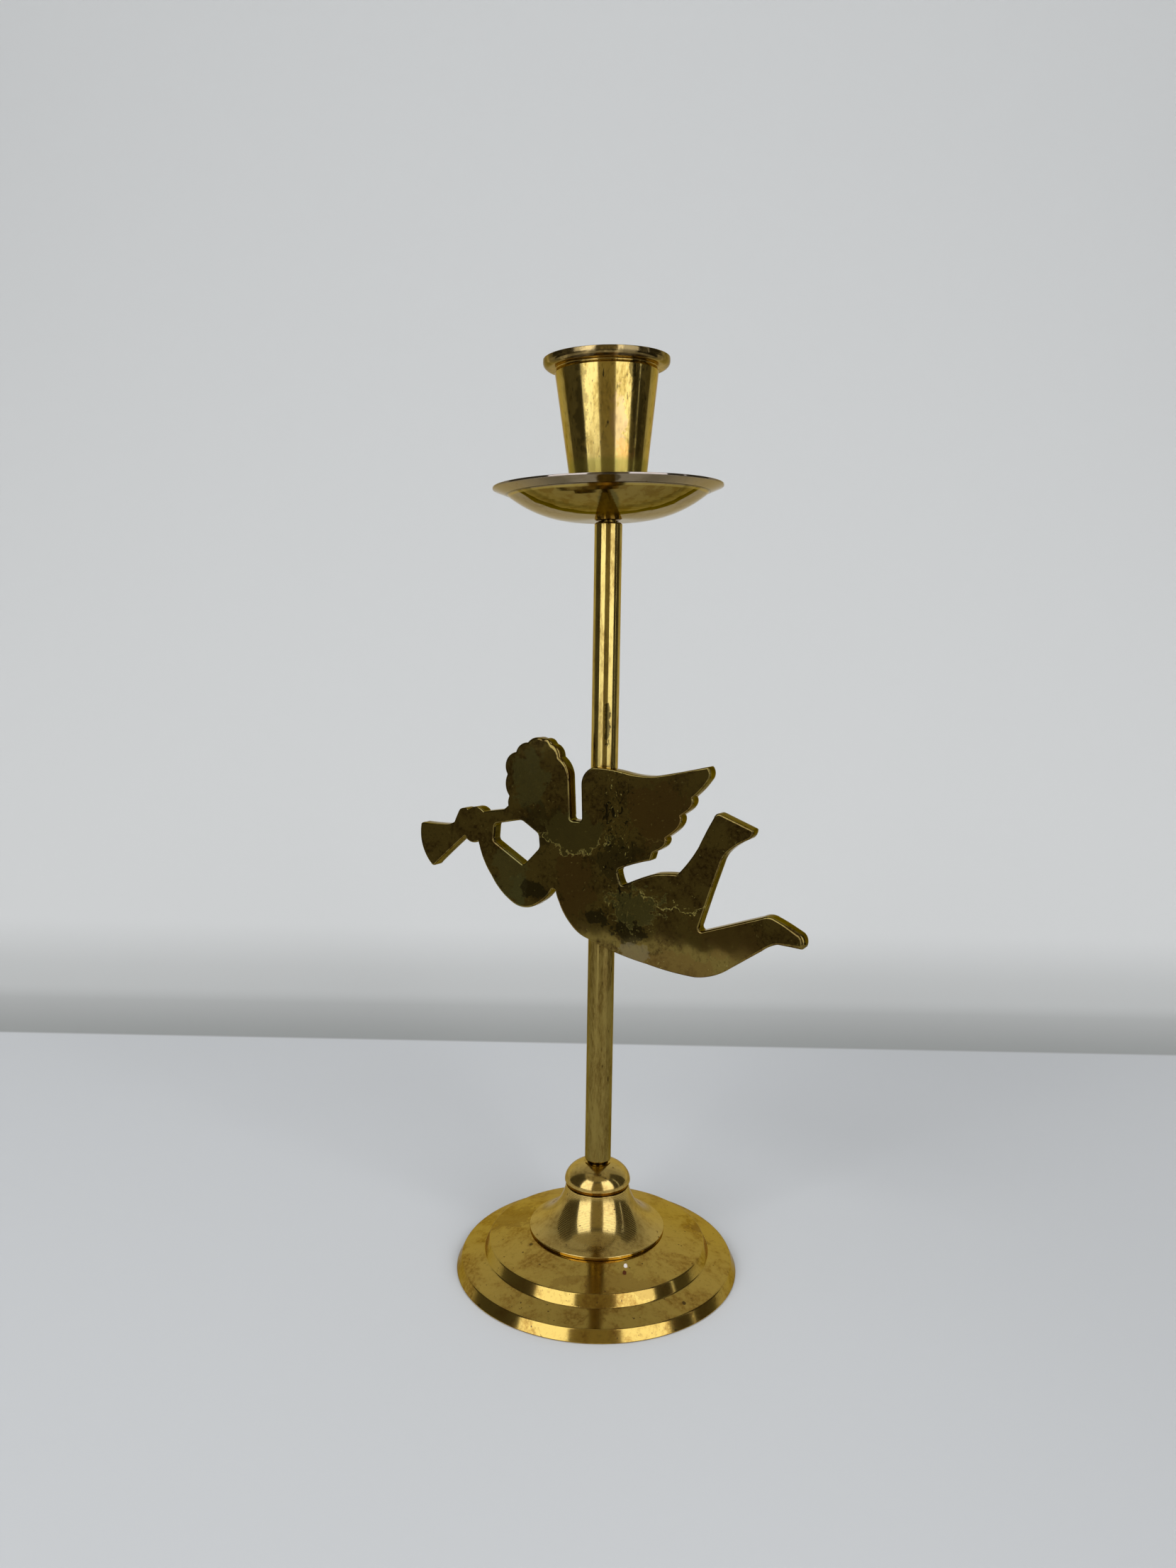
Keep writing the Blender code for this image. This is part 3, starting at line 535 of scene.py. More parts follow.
for x, z, wide, high, color, share, crust in (
    (-18.0, 19.0, 5.0, 8.0, sage, 0.7, 0.03),
    (-14.0, 6.0, 8.0, 6.0, dark, 0.6, 0.0),
    (-24.0, -6.0, 5.0, 8.0, sage, 0.6, 0.04),
    (-21.0, -11.0, 2.4, 4.0, sage, 1.0, 0.06),
    (-16.7, -10.9, 4.0, 2.4, dark, 0.9, 0.0),
    (-4.0, -8.0, 5.0, 10.0, brown, 0.8, 0.0),
    (20.0, 13.0, 9.0, 8.0, brown, 0.8, 0.0),
    (9.0, -1.0, 7.0, 6.0, dark, 0.6, 0.0),
    (2.9, -16.0, 3.4, 2.4, dark, 0.9, 0.0),
    (12.2, -18.5, 4.5, 3.6, dark, 0.9, 0.0),
    (40.0, -16.0, 9.0, 6.0, brown, 0.5, 0.0),
    (24.0, -25.0, 12.0, 3.0, brown, 0.6, 0.0),
):
    plate.paint(on_plate(x, z, wide, high), color, share, crust)
chest = on_plate(-4.0, 5.5, 9.5, 5.4, 0.5)
plate.paint(chest, (0.150, 0.122, 0.032), 0.8, 0.01)
wing_patch = on_plate(19.0, 12.0, 13.0, 6.0, 0.4)
hip_patch = on_plate(27.0, -4.6, 13.0, 6.4, 0.4)
crackle = on_plate(14.0, -12.0, 7.0, 4.4, 1.0, 0.0025)
plate.paint(crackle, sage, 0.8, 0.03)
line_share = 0.20
lower = plate.without(plate.height(plate_place, 0.003, 0.0075))
for patch in (chest, wing_patch):
    plate.paint(plate.both(plate.rim(patch), lower), pale, 0.8, line_share)
plate.paint(plate.rim(crackle), pale, 0.5, 0.12)
hip_low = plate.without(plate.height(plate_place, -0.0085, -0.0060))
plate.paint(plate.both(plate.rim(hip_patch), hip_low), pale, 0.8, line_share)
band = plate.blot(plate_place, (8.0, 0.0, 2.0), (4.6, deep, 22.0), 0.8, 0.35, 0.003)
upright = plate.mapped((1.0, 1.0, 0.55))
pits = plate.ramp(plate.noise(0.0017, 5.0, 0.7, 1.5, upright), 0.56, 0.60)
plate.paint(plate.both(band, pits), (0.025, 0.018, 0.007), 0.9)
scratches = plate.ramp(plate.noise(0.0019, 5.0, 0.65, 2.5, upright), 0.63, 0.66)
plate.paint(plate.both(band, scratches), pale, 0.8, 0.16)
freckles = plate.ramp(plate.noise(0.0007, 2.0, 0.6), 0.68, 0.72)
plate.paint(freckles, pale, 0.5, 0.05)
belly_patch = plate.blot(plate_place, (14.0, 0.0, -23.5), (4.4, deep, 2.4), 0.5, 0.06)
plate.paint(belly_patch, (0.24, 0.19, 0.09), 0.6)
# Painted shade: the side walls of the plate, behind its front rounding, are darkened.
plate.shade(plate.height(plate_place, -0.0013, -0.0008, "Y"), 0.42)
angel_brass = finish(plate)

# %% Finish of the small fittings
screw_brass = finish(brass("screw_brass", (0.50, 0.38, 0.15), (0.30, 0.21, 0.08), (0.15, 0.09, 0.03),
                           rough=(0.25, 0.35)))

# %% [markdown]
# ## The foot
# A solid disc is turned to two steps, and the underside is hollowed to save metal, all but
# a narrow ring to stand on and a thick hub for the rod's end.

# %% Turn the foot
lower_step, step_lean = 0.0030, 0.0014
lower_ring_width, lower_ring_rise = 0.0062, 0.0018
upper_step, upper_lean = 0.0029, 0.0013
wall = 0.0022
bell_lip_radius = (bell_high.x - bell_low.x) / 2.0
pin_radius = 0.0025
lower_bore = pin_radius + seat_gap
hub_radius, hub_thickness = 0.0090, 0.0042
rim_width, rim_chamfer, rim_lift = 0.0027, 0.0003, 0.0002

lower_edge = foot_radius - step_lean
step_foot = lower_edge - lower_ring_width
upper_edge = step_foot - upper_lean
ring_height = lower_step + lower_ring_rise
upper_height = ring_height + upper_step
foot_corners = [
    (lower_bore, foot_top),
    (bell_lip_radius, foot_top),
    (upper_edge, upper_height),
    (step_foot, ring_height),
    (lower_edge, lower_step),
    (foot_radius, rim_lift),
    (foot_radius - rim_chamfer, 0.0),
    (foot_radius - rim_width, 0.0),
    (foot_radius - rim_width - rim_chamfer, lower_step - wall),
    (step_foot - wall / 2.0, ring_height - wall),
    (upper_edge - wall, upper_height - wall),
    (bell_lip_radius, foot_top - wall),
    (hub_radius + wall, foot_top - wall),
    (hub_radius, foot_top - hub_thickness),
    (lower_bore, foot_top - hub_thickness),
    (lower_bore, foot_top - hub_thickness / 2.0),
]
add_piece("turned_foot", revolved("turned_foot", softened(foot_corners, 0.00025), 320),
          lathe_axis, foot_brass, "foot")

# %% [markdown]
# ## The collars
# The bell's flare is one hollow arc from its neck to its thin lip. The ball is the upper
# part of an ellipse, cut off above for the rod and drawn in below onto the bell's neck.

# %% Turn the bell and the ball
bell_lip, bell_neck, bell_hollow, bell_sink = 0.0007, 0.00855, 0.0021, 0.0002
neck_step, bore_step = 0.0002, 0.001
flare = swept_arc((bell_neck, bell_top), (bell_lip_radius, bell_bottom + bell_lip), -bell_hollow, 40)
bell_profile = np.concatenate([
    [(lower_bore, bell_top), (bell_neck - neck_step, bell_top)],
    flare,
    [
        (bell_lip_radius, bell_bottom - bell_sink),
        (lower_bore, bell_bottom),
        (lower_bore, bell_bottom + bore_step),
    ],
])
add_piece("flared_collar", revolved("flared_collar", softened(bell_profile, 0.0002)),
          lathe_axis, collar_brass, "bell_collar")

ball_radius, ball_drop, ball_inset, ball_crown = 0.0089, 0.0009, 0.0004, 0.0056
ball_land = rod_radius + 0.0002
dome_start = math.asin(ball_land / ball_radius)
dome_angle = np.linspace(dome_start, math.pi / 2.0, 30)
dome_height = ball_bottom + ball_drop + ball_crown * np.cos(dome_angle)
dome = np.stack([ball_radius * np.sin(dome_angle), dome_height], -1)
ball_profile = np.concatenate([
    [(lower_bore, ball_top)],
    dome,
    [
        (ball_radius - ball_inset, ball_bottom),
        (lower_bore, ball_bottom),
        (lower_bore, ball_bottom + bore_step),
    ],
])
add_piece("domed_collar", revolved("domed_collar", softened(ball_profile, 0.0001)),
          lathe_axis, collar_brass, "ball_collar")

# %% [markdown]
# ## The rod
# A plain drawn rod, turned down to a pin at each end and chamfered at both shoulders. Its
# back is drilled and spot-faced for the two screws that hold the angel, so two turned
# cutters are taken out of it, and the modifiers are then applied.

# %% Turn and drill the rod
top_pin = 0.0020
top_chamfer, foot_chamfer = 0.0004, 0.0007
pin_bottom = rod_low.z
rod_corners = [
    (0.0, rod_high.z),
    (top_pin, rod_high.z),
    (top_pin, rod_top),
    (rod_radius - top_chamfer, rod_top),
    (rod_radius, rod_top - top_chamfer),
    (rod_radius, rod_bottom + foot_chamfer),
    (rod_radius - foot_chamfer, rod_bottom),
    (pin_radius, rod_bottom),
    (pin_radius, pin_bottom),
    (0.0, pin_bottom),
]
screws = ("angel_screw_upper", "angel_screw_lower")
screw_heights = [sum(corner.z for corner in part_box(node)) / 2.0 for node in screws]
near_hole = 0.0036
rows = [(rod_radius, height + step) for height in screw_heights for step in (near_hole, -near_hole)]
rod_profile = np.array(softened(rod_corners, 0.00012))
long_side = int(np.argmax(np.abs(np.diff(rod_profile[:, 1]))))
rod_profile = np.insert(rod_profile, long_side + 1, rows, axis=0)
rod = add_piece("polished_rod", revolved("polished_rod", rod_profile, 128, ring=False),
                lathe_axis, rod_brass, "rod")

screw_radius, head_radius, head_margin, spot_depth = 0.00125, 0.0023, 0.0004, 0.0006
for number, height in enumerate(screw_heights):
    reach = 2.0 * rod_radius
    drill_corners = [
        (0.0, reach),
        (head_radius + head_margin, reach),
        (head_radius + head_margin, rod_radius - spot_depth),
        (screw_radius + seat_gap, rod_radius - spot_depth),
        (screw_radius + seat_gap, -reach),
        (0.0, -reach),
    ]
    mesh = revolved(f"drill_{number}", np.array(drill_corners), 48, ring=False)
    crosswise = Matrix.Rotation(-math.pi / 2, 4, "X")
    mesh.transform(figure_mount @ Matrix.Translation((0, 0, height)) @ crosswise)
    drill = bpy.data.objects.new(f"drill_{number}", mesh)
    bpy.context.scene.collection.objects.link(drill)
    cut = rod.modifiers.new("Drill", "BOOLEAN")
    cut.operation, cut.solver, cut.object = "DIFFERENCE", "EXACT", drill
    bpy.context.view_layer.update()
    drilled = bpy.data.meshes.new_from_object(rod.evaluated_get(bpy.context.evaluated_depsgraph_get()))
    rod.modifiers.clear()
    rod.data = drilled
    bpy.data.objects.remove(drill, do_unlink=True)
rod.data.set_sharp_from_angle(angle=math.radians(40.0))
print("drilled rod", len(rod.data.polygons), "faces")

# %% [markdown]
# ## The pan and the cup
# The pan is thin: a flat seat, a bowl that leaves it in one arc, a crease, and a flange
# that thins towards its edge. The cup is a straight cone with a fine groove under its lip.

# %% Turn the pan
flange_rise, rim_sheet, flat_crease = 0.0018, 0.0005, 0.0002
pin_play = 0.0006
top_bore = top_pin + pin_play
crease = seat_gap + bowl_depth
rim = crease + flange_rise
run = bowl_radius - pan_seat
bowl_sag = math.hypot(run, bowl_depth) * math.tan(math.atan2(bowl_depth, run) / 2.0) / 2.0
arc_points = 18
inner_edge = (bowl_radius - sheet / 2.0, crease + sheet)
outer_bowl = swept_arc((bowl_radius, crease), (pan_seat, seat_gap), bowl_sag, arc_points)
inner_bowl = swept_arc((pan_seat, seat_gap + sheet), inner_edge, -bowl_sag, arc_points)
pan_profile = np.concatenate([
    [(top_bore, seat_gap + sheet)],
    inner_bowl,
    [
        (pan_radius, rim),
        (pan_radius, rim - rim_sheet),
        (bowl_radius + flat_crease, crease),
    ],
    outer_bowl,
    [(top_bore, seat_gap), (top_bore, seat_gap + sheet / 2.0)],
])
add_piece("wax_pan", revolved("wax_pan", softened(pan_profile, 0.00012), 320),
          top_seat, pan_brass, "drip_pan")

# %% Turn the cup
cup_height, cup_base, cup_top, cup_wall = 0.0382, 0.0086, 0.0130, 0.0014
cup_floor, lip_radius, lip_height, lip_round = 0.0072, 0.0159, 0.0023, 0.0015
groove, groove_height, mouth_chamfer = 0.0003, 0.0006, 0.0003
cup_bottom = 2.0 * seat_gap + sheet
cup_end = cup_bottom + cup_height
lip_low = cup_end - lip_height
body_top = lip_low - groove_height
slope = (cup_top - cup_base) / (body_top - cup_bottom)
floor_radius = cup_base + slope * cup_floor - cup_wall
bead_angle = np.linspace(0.0, math.pi / 2.0, 12)
lip_edge = np.stack([
    lip_radius - lip_round * (1.0 - np.cos(bead_angle)),
    lip_low + lip_round - lip_round * np.sin(bead_angle),
], -1)
pin_hole = cup_bottom + pin_grip + seat_gap + pin_play
cup_profile = np.concatenate([
    [
        (0.0, cup_bottom + cup_floor),
        (floor_radius - cup_wall, cup_bottom + cup_floor),
        (floor_radius, cup_bottom + cup_floor + cup_wall),
        (cup_top - cup_wall, cup_end - mouth_chamfer),
        (cup_top - cup_wall + mouth_chamfer, cup_end),
        (lip_radius, cup_end),
    ],
    lip_edge,
    [
        (cup_top - groove, lip_low),
        (cup_top - groove, body_top),
        (cup_top, body_top - groove),
        (cup_base, cup_bottom),
        (top_bore, cup_bottom),
        (top_bore, pin_hole),
        (0.0, pin_hole),
    ],
])
add_piece("candle_socket", revolved("candle_socket", softened(cup_profile, 0.00022), 320, ring=False),
          top_seat, cup_brass, "candle_cup")

# %% [markdown]
# ## The angel's outline
# The figure is a flat casting, so its outline says almost everything. It is drawn as strokes,
# each an arc to the next corner, clockwise from the trumpet: the number after a corner is
# how far the arc bows, positive where the figure swells. One unit is a millimetre.

# %% Draw the strokes
trumpet_top = [(-52.6, 3.9, 0.25), (-44.8, 4.0, -0.1), (-42.0, 5.0, -0.15)]
fingers = [(-40.3, 8.6, 0.05), (-37.2, 8.8, 0.45), (-32.4, 8.7, 1.0), (-25.9, 9.8, 0.0)]
face = [(-24.5, 11.0, 0.0), (-24.2, 13.6, 0.25)]
curls = [
    (-24.8, 19.4, 0.9),
    (-22.2, 25.4, 1.8),
    (-18.6, 28.1, 0.8),
    (-14.2, 29.3, 0.8),
    (-11.3, 28.1, 0.6),
    (-8.9, 24.9, 0.7),
]
nape = [(-6.2, 19.2, 0.75), (-5.7, 9.9, 0.0)]
slot_end = [(-4.9, 8.6, -0.35), (-3.0, 8.6, 0.0), (-2.0, 9.5, -0.3)]
wing = [
    (-2.3, 17.9, 0.0),
    (0.9, 22.8, 1.0),
    (10.3, 22.0, 0.25),
    (18.4, 21.7, -0.3),
    (32.6, 25.0, -0.1),
    (33.0, 22.2, 0.4),
    (28.6, 17.2, 0.25),
]
feathers = [(25.6, 12.5, 1.1), (21.7, 6.6, 1.25), (18.3, 2.6, 1.05)]
wing_underside = [(17.7, 0.6, 0.0), (8.8, -2.5, -0.2), (8.4, -3.3, 0.0), (9.4, -6.4, -0.15)]
back = [(10.4, -6.6, -0.2), (19.2, -2.8, 0.2), (25.2, -2.3, 0.15)]
raised_leg = [
    (30.8, 5.3, -0.3),
    (34.6, 12.8, 0.1),
    (36.2, 13.8, 0.45),
    (44.7, 10.6, 0.0),
    (43.6, 8.4, 0.35),
    (38.4, 4.9, -0.25),
    (36.5, 1.6, -0.25),
    (33.9, -6.1, 0.0),
    (31.3, -14.4, 0.0),
    (31.9, -15.9, -0.4),
]
straight_leg = [
    (47.4, -10.4, 0.0),
    (51.0, -10.3, 0.45),
    (57.4, -13.2, 0.1),
    (58.1, -16.2, 0.5),
    (57.4, -16.6, 0.15),
    (51.7, -16.2, 0.0),
    (47.8, -18.3, -0.25),
    (39.6, -24.0, 0.0),
    (30.5, -27.5, 0.7),
]
belly = [
    (17.3, -26.1, 0.3),
    (0.2, -21.9, 0.5),
    (-4.8, -18.9, 0.45),
    (-8.5, -13.4, 0.35),
    (-9.6, -10.5, 0.1),
    (-10.9, -10.2, -0.3),
]
arm = [
    (-15.0, -14.4, 0.4),
    (-22.4, -15.4, 1.05),
    (-29.7, -8.6, 0.7),
    (-33.7, -0.8, 0.45),
    (-34.1, 0.5, 0.0),
    (-37.9, 0.8, 0.65),
    (-38.4, 1.7, 0.0),
]
trumpet_mouth = [(-48.4, -7.2, -0.1), (-49.6, -7.6, 0.3), (-53.3, 3.2, 1.45)]
arm_loop = [(-29.0, 5.8), (-20.3, 7.6), (-15.0, 4.3), (-14.6, 0.5), (-19.6, -4.7), (-29.4, 1.1)]
feather_skew = 0.65
swell = 0.0001


def resampled(path, spacing):
    """The same closed path with a point about every spacing."""
    loop = np.concatenate([path, path[:1]])
    along = np.concatenate([[0.0], np.cumsum(np.hypot(*np.diff(loop, axis=0).T))])
    count = int(along[-1] / spacing)
    at = np.arange(count) * along[-1] / count
    return np.stack([np.interp(at, along, loop[:, k]) for k in (0, 1)], -1)


def outline():
    """Closed outline in metres: arcs for the body, sines skewed upwards for the feathers."""
    path = [np.array(trumpet_mouth[-1][:2])[None]]
    for strokes in (trumpet_top, fingers, face, curls, nape, slot_end, wing):
        for x, z, bow in strokes:
            path.append(swept_arc(path[-1][-1], (x, z), bow or 1e-6, 24)[1:])
    for x, z, depth in feathers:
        t = np.linspace(0.0, 1.0, 24)[1:, None]
        start, chord = path[-1][-1], np.array([x, z]) - path[-1][-1]
        left = np.array([-chord[1], chord[0]]) / np.hypot(*chord)
        path.append(start + chord * t + left * depth * np.sin(np.pi * t ** feather_skew))
    for strokes in (wing_underside, back, raised_leg, straight_leg, belly, arm, trumpet_mouth):
        for x, z, bow in strokes:
            path.append(swept_arc(path[-1][-1], (x, z), bow or 1e-6, 24)[1:])
    return np.concatenate(path)[:-1] * 0.001


def pushed_out(path, distance):
    """Each point moved along the outward normal of its two neighbours."""
    along = np.roll(path, -1, 0) - np.roll(path, 1, 0)
    normal = np.stack([-along[:, 1], along[:, 0]], -1) / np.hypot(*along.T)[:, None]
    return path + normal * distance


spacing = 0.00035
body_path = pushed_out(resampled(outline(), spacing), swell)
loop_corners = np.array(arm_loop)[::-1] * 0.001
loop_path = softened(np.concatenate([loop_corners[-1:], loop_corners, loop_corners[:1]]), 0.0009, 9)[1:-1]
loop_path = pushed_out(resampled(loop_path, spacing), swell)
print("outline", len(body_path), "points, arm loop", len(loop_path), "points")


# %% [markdown]
# ## The angel's plate
# A casting has soft edges. The plate's half thickness is therefore a function of how far a
# point lies from the outline: full inside, falling in a quarter circle at the edge. The flat
# is filled with a triangle net through the outline, six rows beside it and a plain grid, and
# the height of every point comes from its distance. The edge is softer at the toe and the
# head, and sharper along the tops of the wing and the trumpet.

# %% Cast the plate
edge_round = 0.0004
soft_spots = [
    ((0.0570, -0.0140), 0.0040, 0.0005),
    ((-0.0100, 0.0265), 0.0040, 0.0005),
    ((0.0060, 0.0225), 0.0055, -0.0002),
    ((0.0165, 0.0218), 0.0060, -0.0002),
    ((0.0270, 0.0232), 0.0045, -0.0002),
    ((-0.0360, 0.0090), 0.0050, -0.0002),
    ((-0.0470, 0.0045), 0.0055, -0.0002),
]


def distance_to(points, path):
    """Shortest distance from each point to a closed path, over all its segments."""
    nearest = np.full(len(points), 1.0)
    start, end = path, np.roll(path, -1, 0)
    for block in np.array_split(np.arange(len(path)), 12):
        a, ab = start[block], (end - start)[block]
        ap = points[:, None] - a[None]
        t = np.clip((ap * ab).sum(-1) / (ab * ab).sum(-1), 0.0, 1.0)
        gap = np.linalg.norm(ap - t[..., None] * ab, axis=-1).min(1)
        nearest = np.minimum(nearest, gap)
    return nearest


def inside(points, path):
    """Whether each point is inside a closed path, by counting crossings to its right."""
    x1, y1 = path.T
    x2, y2 = np.roll(path, -1, 0).T
    px, py = points[:, :1], points[:, 1:]
    spans = (y1 > py) != (y2 > py)
    cross = x1 + (py - y1) * (x2 - x1) / np.where(y2 == y1, 1e-12, y2 - y1)
    return ((px < cross) & spans).sum(1) % 2 == 1


def edge_radius(points):
    """Radius of the softened edge: one size everywhere, more or less near each soft spot."""
    radius = np.full(len(points), edge_round)
    for centre, reach, extra in soft_spots:
        away = np.linalg.norm(points - np.array(centre), axis=1)
        radius += extra * np.exp(-((away / reach) ** 2))
    return radius


def face_points():
    """Points inside the figure: six rows beside the outlines and a grid."""
    rows = []
    for path in (body_path, loop_path):
        for share in (0.12, 0.35, 0.68, 1.0, 1.25, 1.7):
            depth = edge_radius(path)[:, None] * share
            rows.append(path + (pushed_out(path, -1.0) - path) * depth)
    low, high, step = body_path.min(0), body_path.max(0), 0.0012
    x, z = np.meshgrid(np.arange(low[0], high[0], step), np.arange(low[1], high[1], step))
    grid = np.stack([x.ravel(), z.ravel()], -1)
    near = np.minimum(distance_to(grid, body_path), distance_to(grid, loop_path))
    grid = grid[near > 2.3 * edge_radius(grid)]
    points = np.concatenate(rows + [grid])
    points = points[inside(points, body_path) & ~inside(points, loop_path)]
    closest = 0.00004
    return points[np.minimum(distance_to(points, body_path), distance_to(points, loop_path)) > closest]


def fill():
    """Triangles over the figure, with the points of both outlines first."""
    ring = np.concatenate([body_path, loop_path])
    n, m = len(body_path), len(loop_path)
    edges = [(i, (i + 1) % n) for i in range(n)] + [(n + i, n + (i + 1) % m) for i in range(m)]
    points = np.concatenate([ring, face_points()])
    vectors = [Vector(p) for p in points]
    found, _, triangles, *_ = delaunay_2d_cdt(vectors, edges, [], 1, 1e-8)
    found = np.array([tuple(p) for p in found])
    triangles = np.array([tuple(t) for t in triangles if len(t) == 3])
    middle = found[triangles].mean(1)
    keep = inside(middle, body_path) & ~inside(middle, loop_path)
    return found, triangles[keep]


def half_thickness(points, gap):
    """Full in the middle, a quarter circle at the edge, and a breath of waviness."""
    radius = edge_radius(points)
    short = np.clip(radius - gap, 0.0, None)
    drop = radius - np.sqrt(np.clip(radius ** 2 - short ** 2, 0.0, None))
    x, z = points[:, 0] * 1000.0, points[:, 1] * 1000.0
    wave = np.sin(x * 0.31 + 1.3) * np.sin(z * 0.37 + 0.4) + 0.5 * np.sin(x * 0.83 + z * 0.57)
    return thickness / 2.0 - drop + 0.000006 * wave * np.clip(gap / 0.002, 0.0, 1.0)


flat, triangles = fill()
gap = np.minimum(distance_to(flat, body_path), distance_to(flat, loop_path))
half = half_thickness(flat, gap)
front = np.stack([flat[:, 0], -half, flat[:, 1]], -1)
rear = np.stack([flat[:, 0], half, flat[:, 1]], -1)
a, b, c = flat[triangles[:, 0]], flat[triangles[:, 1]], flat[triangles[:, 2]]
turned_over = np.cross(b - a, c - a) < 0.0
triangles[turned_over] = triangles[turned_over][:, ::-1]
used = np.unique(triangles)
print("plate face", len(used), "points,", len(triangles), "triangles")

wall_rows = 5
faces = triangles.tolist() + (triangles[:, ::-1] + len(flat)).tolist()
points = [front, rear]
start = 2 * len(flat)
for first, path in ((0, body_path), (len(body_path), loop_path)):
    n = len(path)
    ids = first + np.arange(n)
    depth = np.linspace(-1.0, 1.0, wall_rows)[1:-1]
    edge_half = half[ids]
    arc = np.arange(n) * spacing * 1000.0
    rough = 0.00003 * (np.sin(arc * 2.1) + 0.6 * np.sin(arc * 5.3 + 1.0))
    rows = [ids]
    for k, share in enumerate(depth):
        dent = rough * math.cos(share * math.pi / 2.0) * math.cos(3.0 * k + 1.0)
        place = pushed_out(path, 1.0) - path
        shifted = path + place * dent[:, None]
        points.append(np.stack([shifted[:, 0], edge_half * share, shifted[:, 1]], -1))
        rows.append(start + np.arange(n))
        start += n
    rows.append(ids + len(flat))
    rows = np.array(rows)
    i = np.arange(wall_rows - 1)[:, None]
    j = np.arange(n)[None]
    strip = np.stack([rows[i, j], rows[i + 1, j], rows[i + 1, (j + 1) % n], rows[i, (j + 1) % n]], -1)
    after = np.roll(path, -1, 0)
    turns_left = (path[:, 0] * after[:, 1] - after[:, 0] * path[:, 1]).sum() > 0.0
    if turns_left != (first == 0):
        strip = strip[..., ::-1]
    faces += strip.reshape(-1, 4).tolist()
points = np.concatenate(points)
plate_mesh = bpy.data.meshes.new("trumpet_angel")
plate_mesh.from_pydata(points.tolist(), [], faces)
plate_mesh.validate()
plate_mesh.shade_smooth()
plate_mesh.update()
add_piece("trumpet_angel", plate_mesh, plate_place, angel_brass, "angel_plate")

# %% [markdown]
# ## Small fittings
# Screws, washer and nut keep their solids. They are dull turned brass.

# %% Dress the small solids
for node in ("angel_screw_lower", "angel_screw_upper", "foot_washer", "foot_nut"):
    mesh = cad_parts[node].data
    mesh.materials.clear()
    mesh.materials.append(screw_brass)
    print("dressed", node)

# %% [markdown]
# ## Table, wall and studio
# Polished metal shows its surroundings, so these are part of the look. A pale table runs
# into a pale wall behind. In front, two large bright panels stand before a dim screen, and the
# near side of the table falls into the dark, which the angel's flat mirrors.

# %% Table and wall
def plain(name, color, rough=0.9, strength=None):
    """A matt colour, or a glow where a strength is given."""
    material = bpy.data.materials.new(name)
    material.use_nodes = True
    shader = material.node_tree.nodes["Principled BSDF"]
    shader.inputs["Base Color"].default_value = (*color, 1.0)
    shader.inputs["Roughness"].default_value = rough
    shader.inputs["Specular IOR Level"].default_value = 0.2
    if strength is not None:
        shader.inputs["Base Color"].default_value = (0.0, 0.0, 0.0, 1.0)
        shader.inputs["Specular IOR Level"].default_value = 0.0
        shader.inputs["Emission Color"].default_value = (*color, 1.0)
        shader.inputs["Emission Strength"].default_value = strength
    return material


def stage_grid(name, points, material):
    """Stage surface from a grid of points, an array of rows by columns by three."""
    rows, columns = points.shape[:2]
    index = np.arange(rows * columns).reshape(rows, columns)
    quads = np.stack([index[:-1, :-1], index[1:, :-1], index[1:, 1:], index[:-1, 1:]], -1)
    mesh = bpy.data.meshes.new(name)
    mesh.from_pydata(points.reshape(-1, 3).tolist(), [], quads.reshape(-1, 4).tolist())
    mesh.materials.append(material)
    mesh.shade_smooth()
    thing = bpy.data.objects.new(name, mesh)
    bpy.context.scene.collection.objects.link(thing)
    return thing


def sweep_profile(y0, y1, bend, top, steps):
    """Floor from y0 to y1, a quarter round of radius bend, then a wall up to top."""
    angle = np.linspace(-math.pi / 2.0, 0.0, steps)
    curve = np.stack([y1 + bend * np.cos(angle), bend + bend * np.sin(angle)], -1)
    return np.concatenate([[(y0, 0.0)], curve, [(y1 + bend, top)]])


graded = Recipe("graded_paper")
graded.shader.inputs["Roughness"].default_value = 0.9
graded.shader.inputs["Specular IOR Level"].default_value = 0.2
level_ground = Matrix.Identity(4)
table_tone, corner_shade_tone = (0.64, 0.655, 0.67), (0.325, 0.334, 0.325)
low_wall_shade, wall_tone = (0.60, 0.61, 0.605), (0.78, 0.79, 0.79)
# Painted shade: a dark line where the table turns up into the wall, then a grey band fading into the wall's
# tone.
wall_mask = graded.height(level_ground, -0.00006, 0.0)
graded.tone = graded.mix(wall_mask, table_tone, corner_shade_tone)
graded.paint(graded.both(wall_mask, graded.height(level_ground, -0.0008, 0.0020)), low_wall_shade)
graded.paint(graded.height(level_ground, 0.0, 0.0115), wall_tone)
# Painted shade: the table is a little darker towards the right.
sideways = Matrix.Rotation(math.radians(90.0), 4, "Y")
graded.shade(graded.both(graded.without(wall_mask), graded.height(sideways, 0.0, 0.17)), 0.91)
x = np.linspace(-3.0, 3.0, 5)
table_start, table_end, bend, wall_top, paper_gap = -3.0, 0.17, 1.2, 3.5, 0.0001
profile = sweep_profile(table_start, table_end, bend, wall_top, 40)
points = np.empty((len(profile), len(x), 3))
points[..., 0] = x[None]
points[..., 1] = profile[:, None, 0]
points[..., 2] = profile[:, None, 1] - paper_gap
stage_grid("paper_sweep", points, finish(graded))


# %% Screens that only the metal sees
def only_mirrored(thing):
    """Hide a thing from the camera and from all light but the mirrored."""
    thing.visible_camera = False
    thing.visible_diffuse = False
    thing.visible_shadow = False


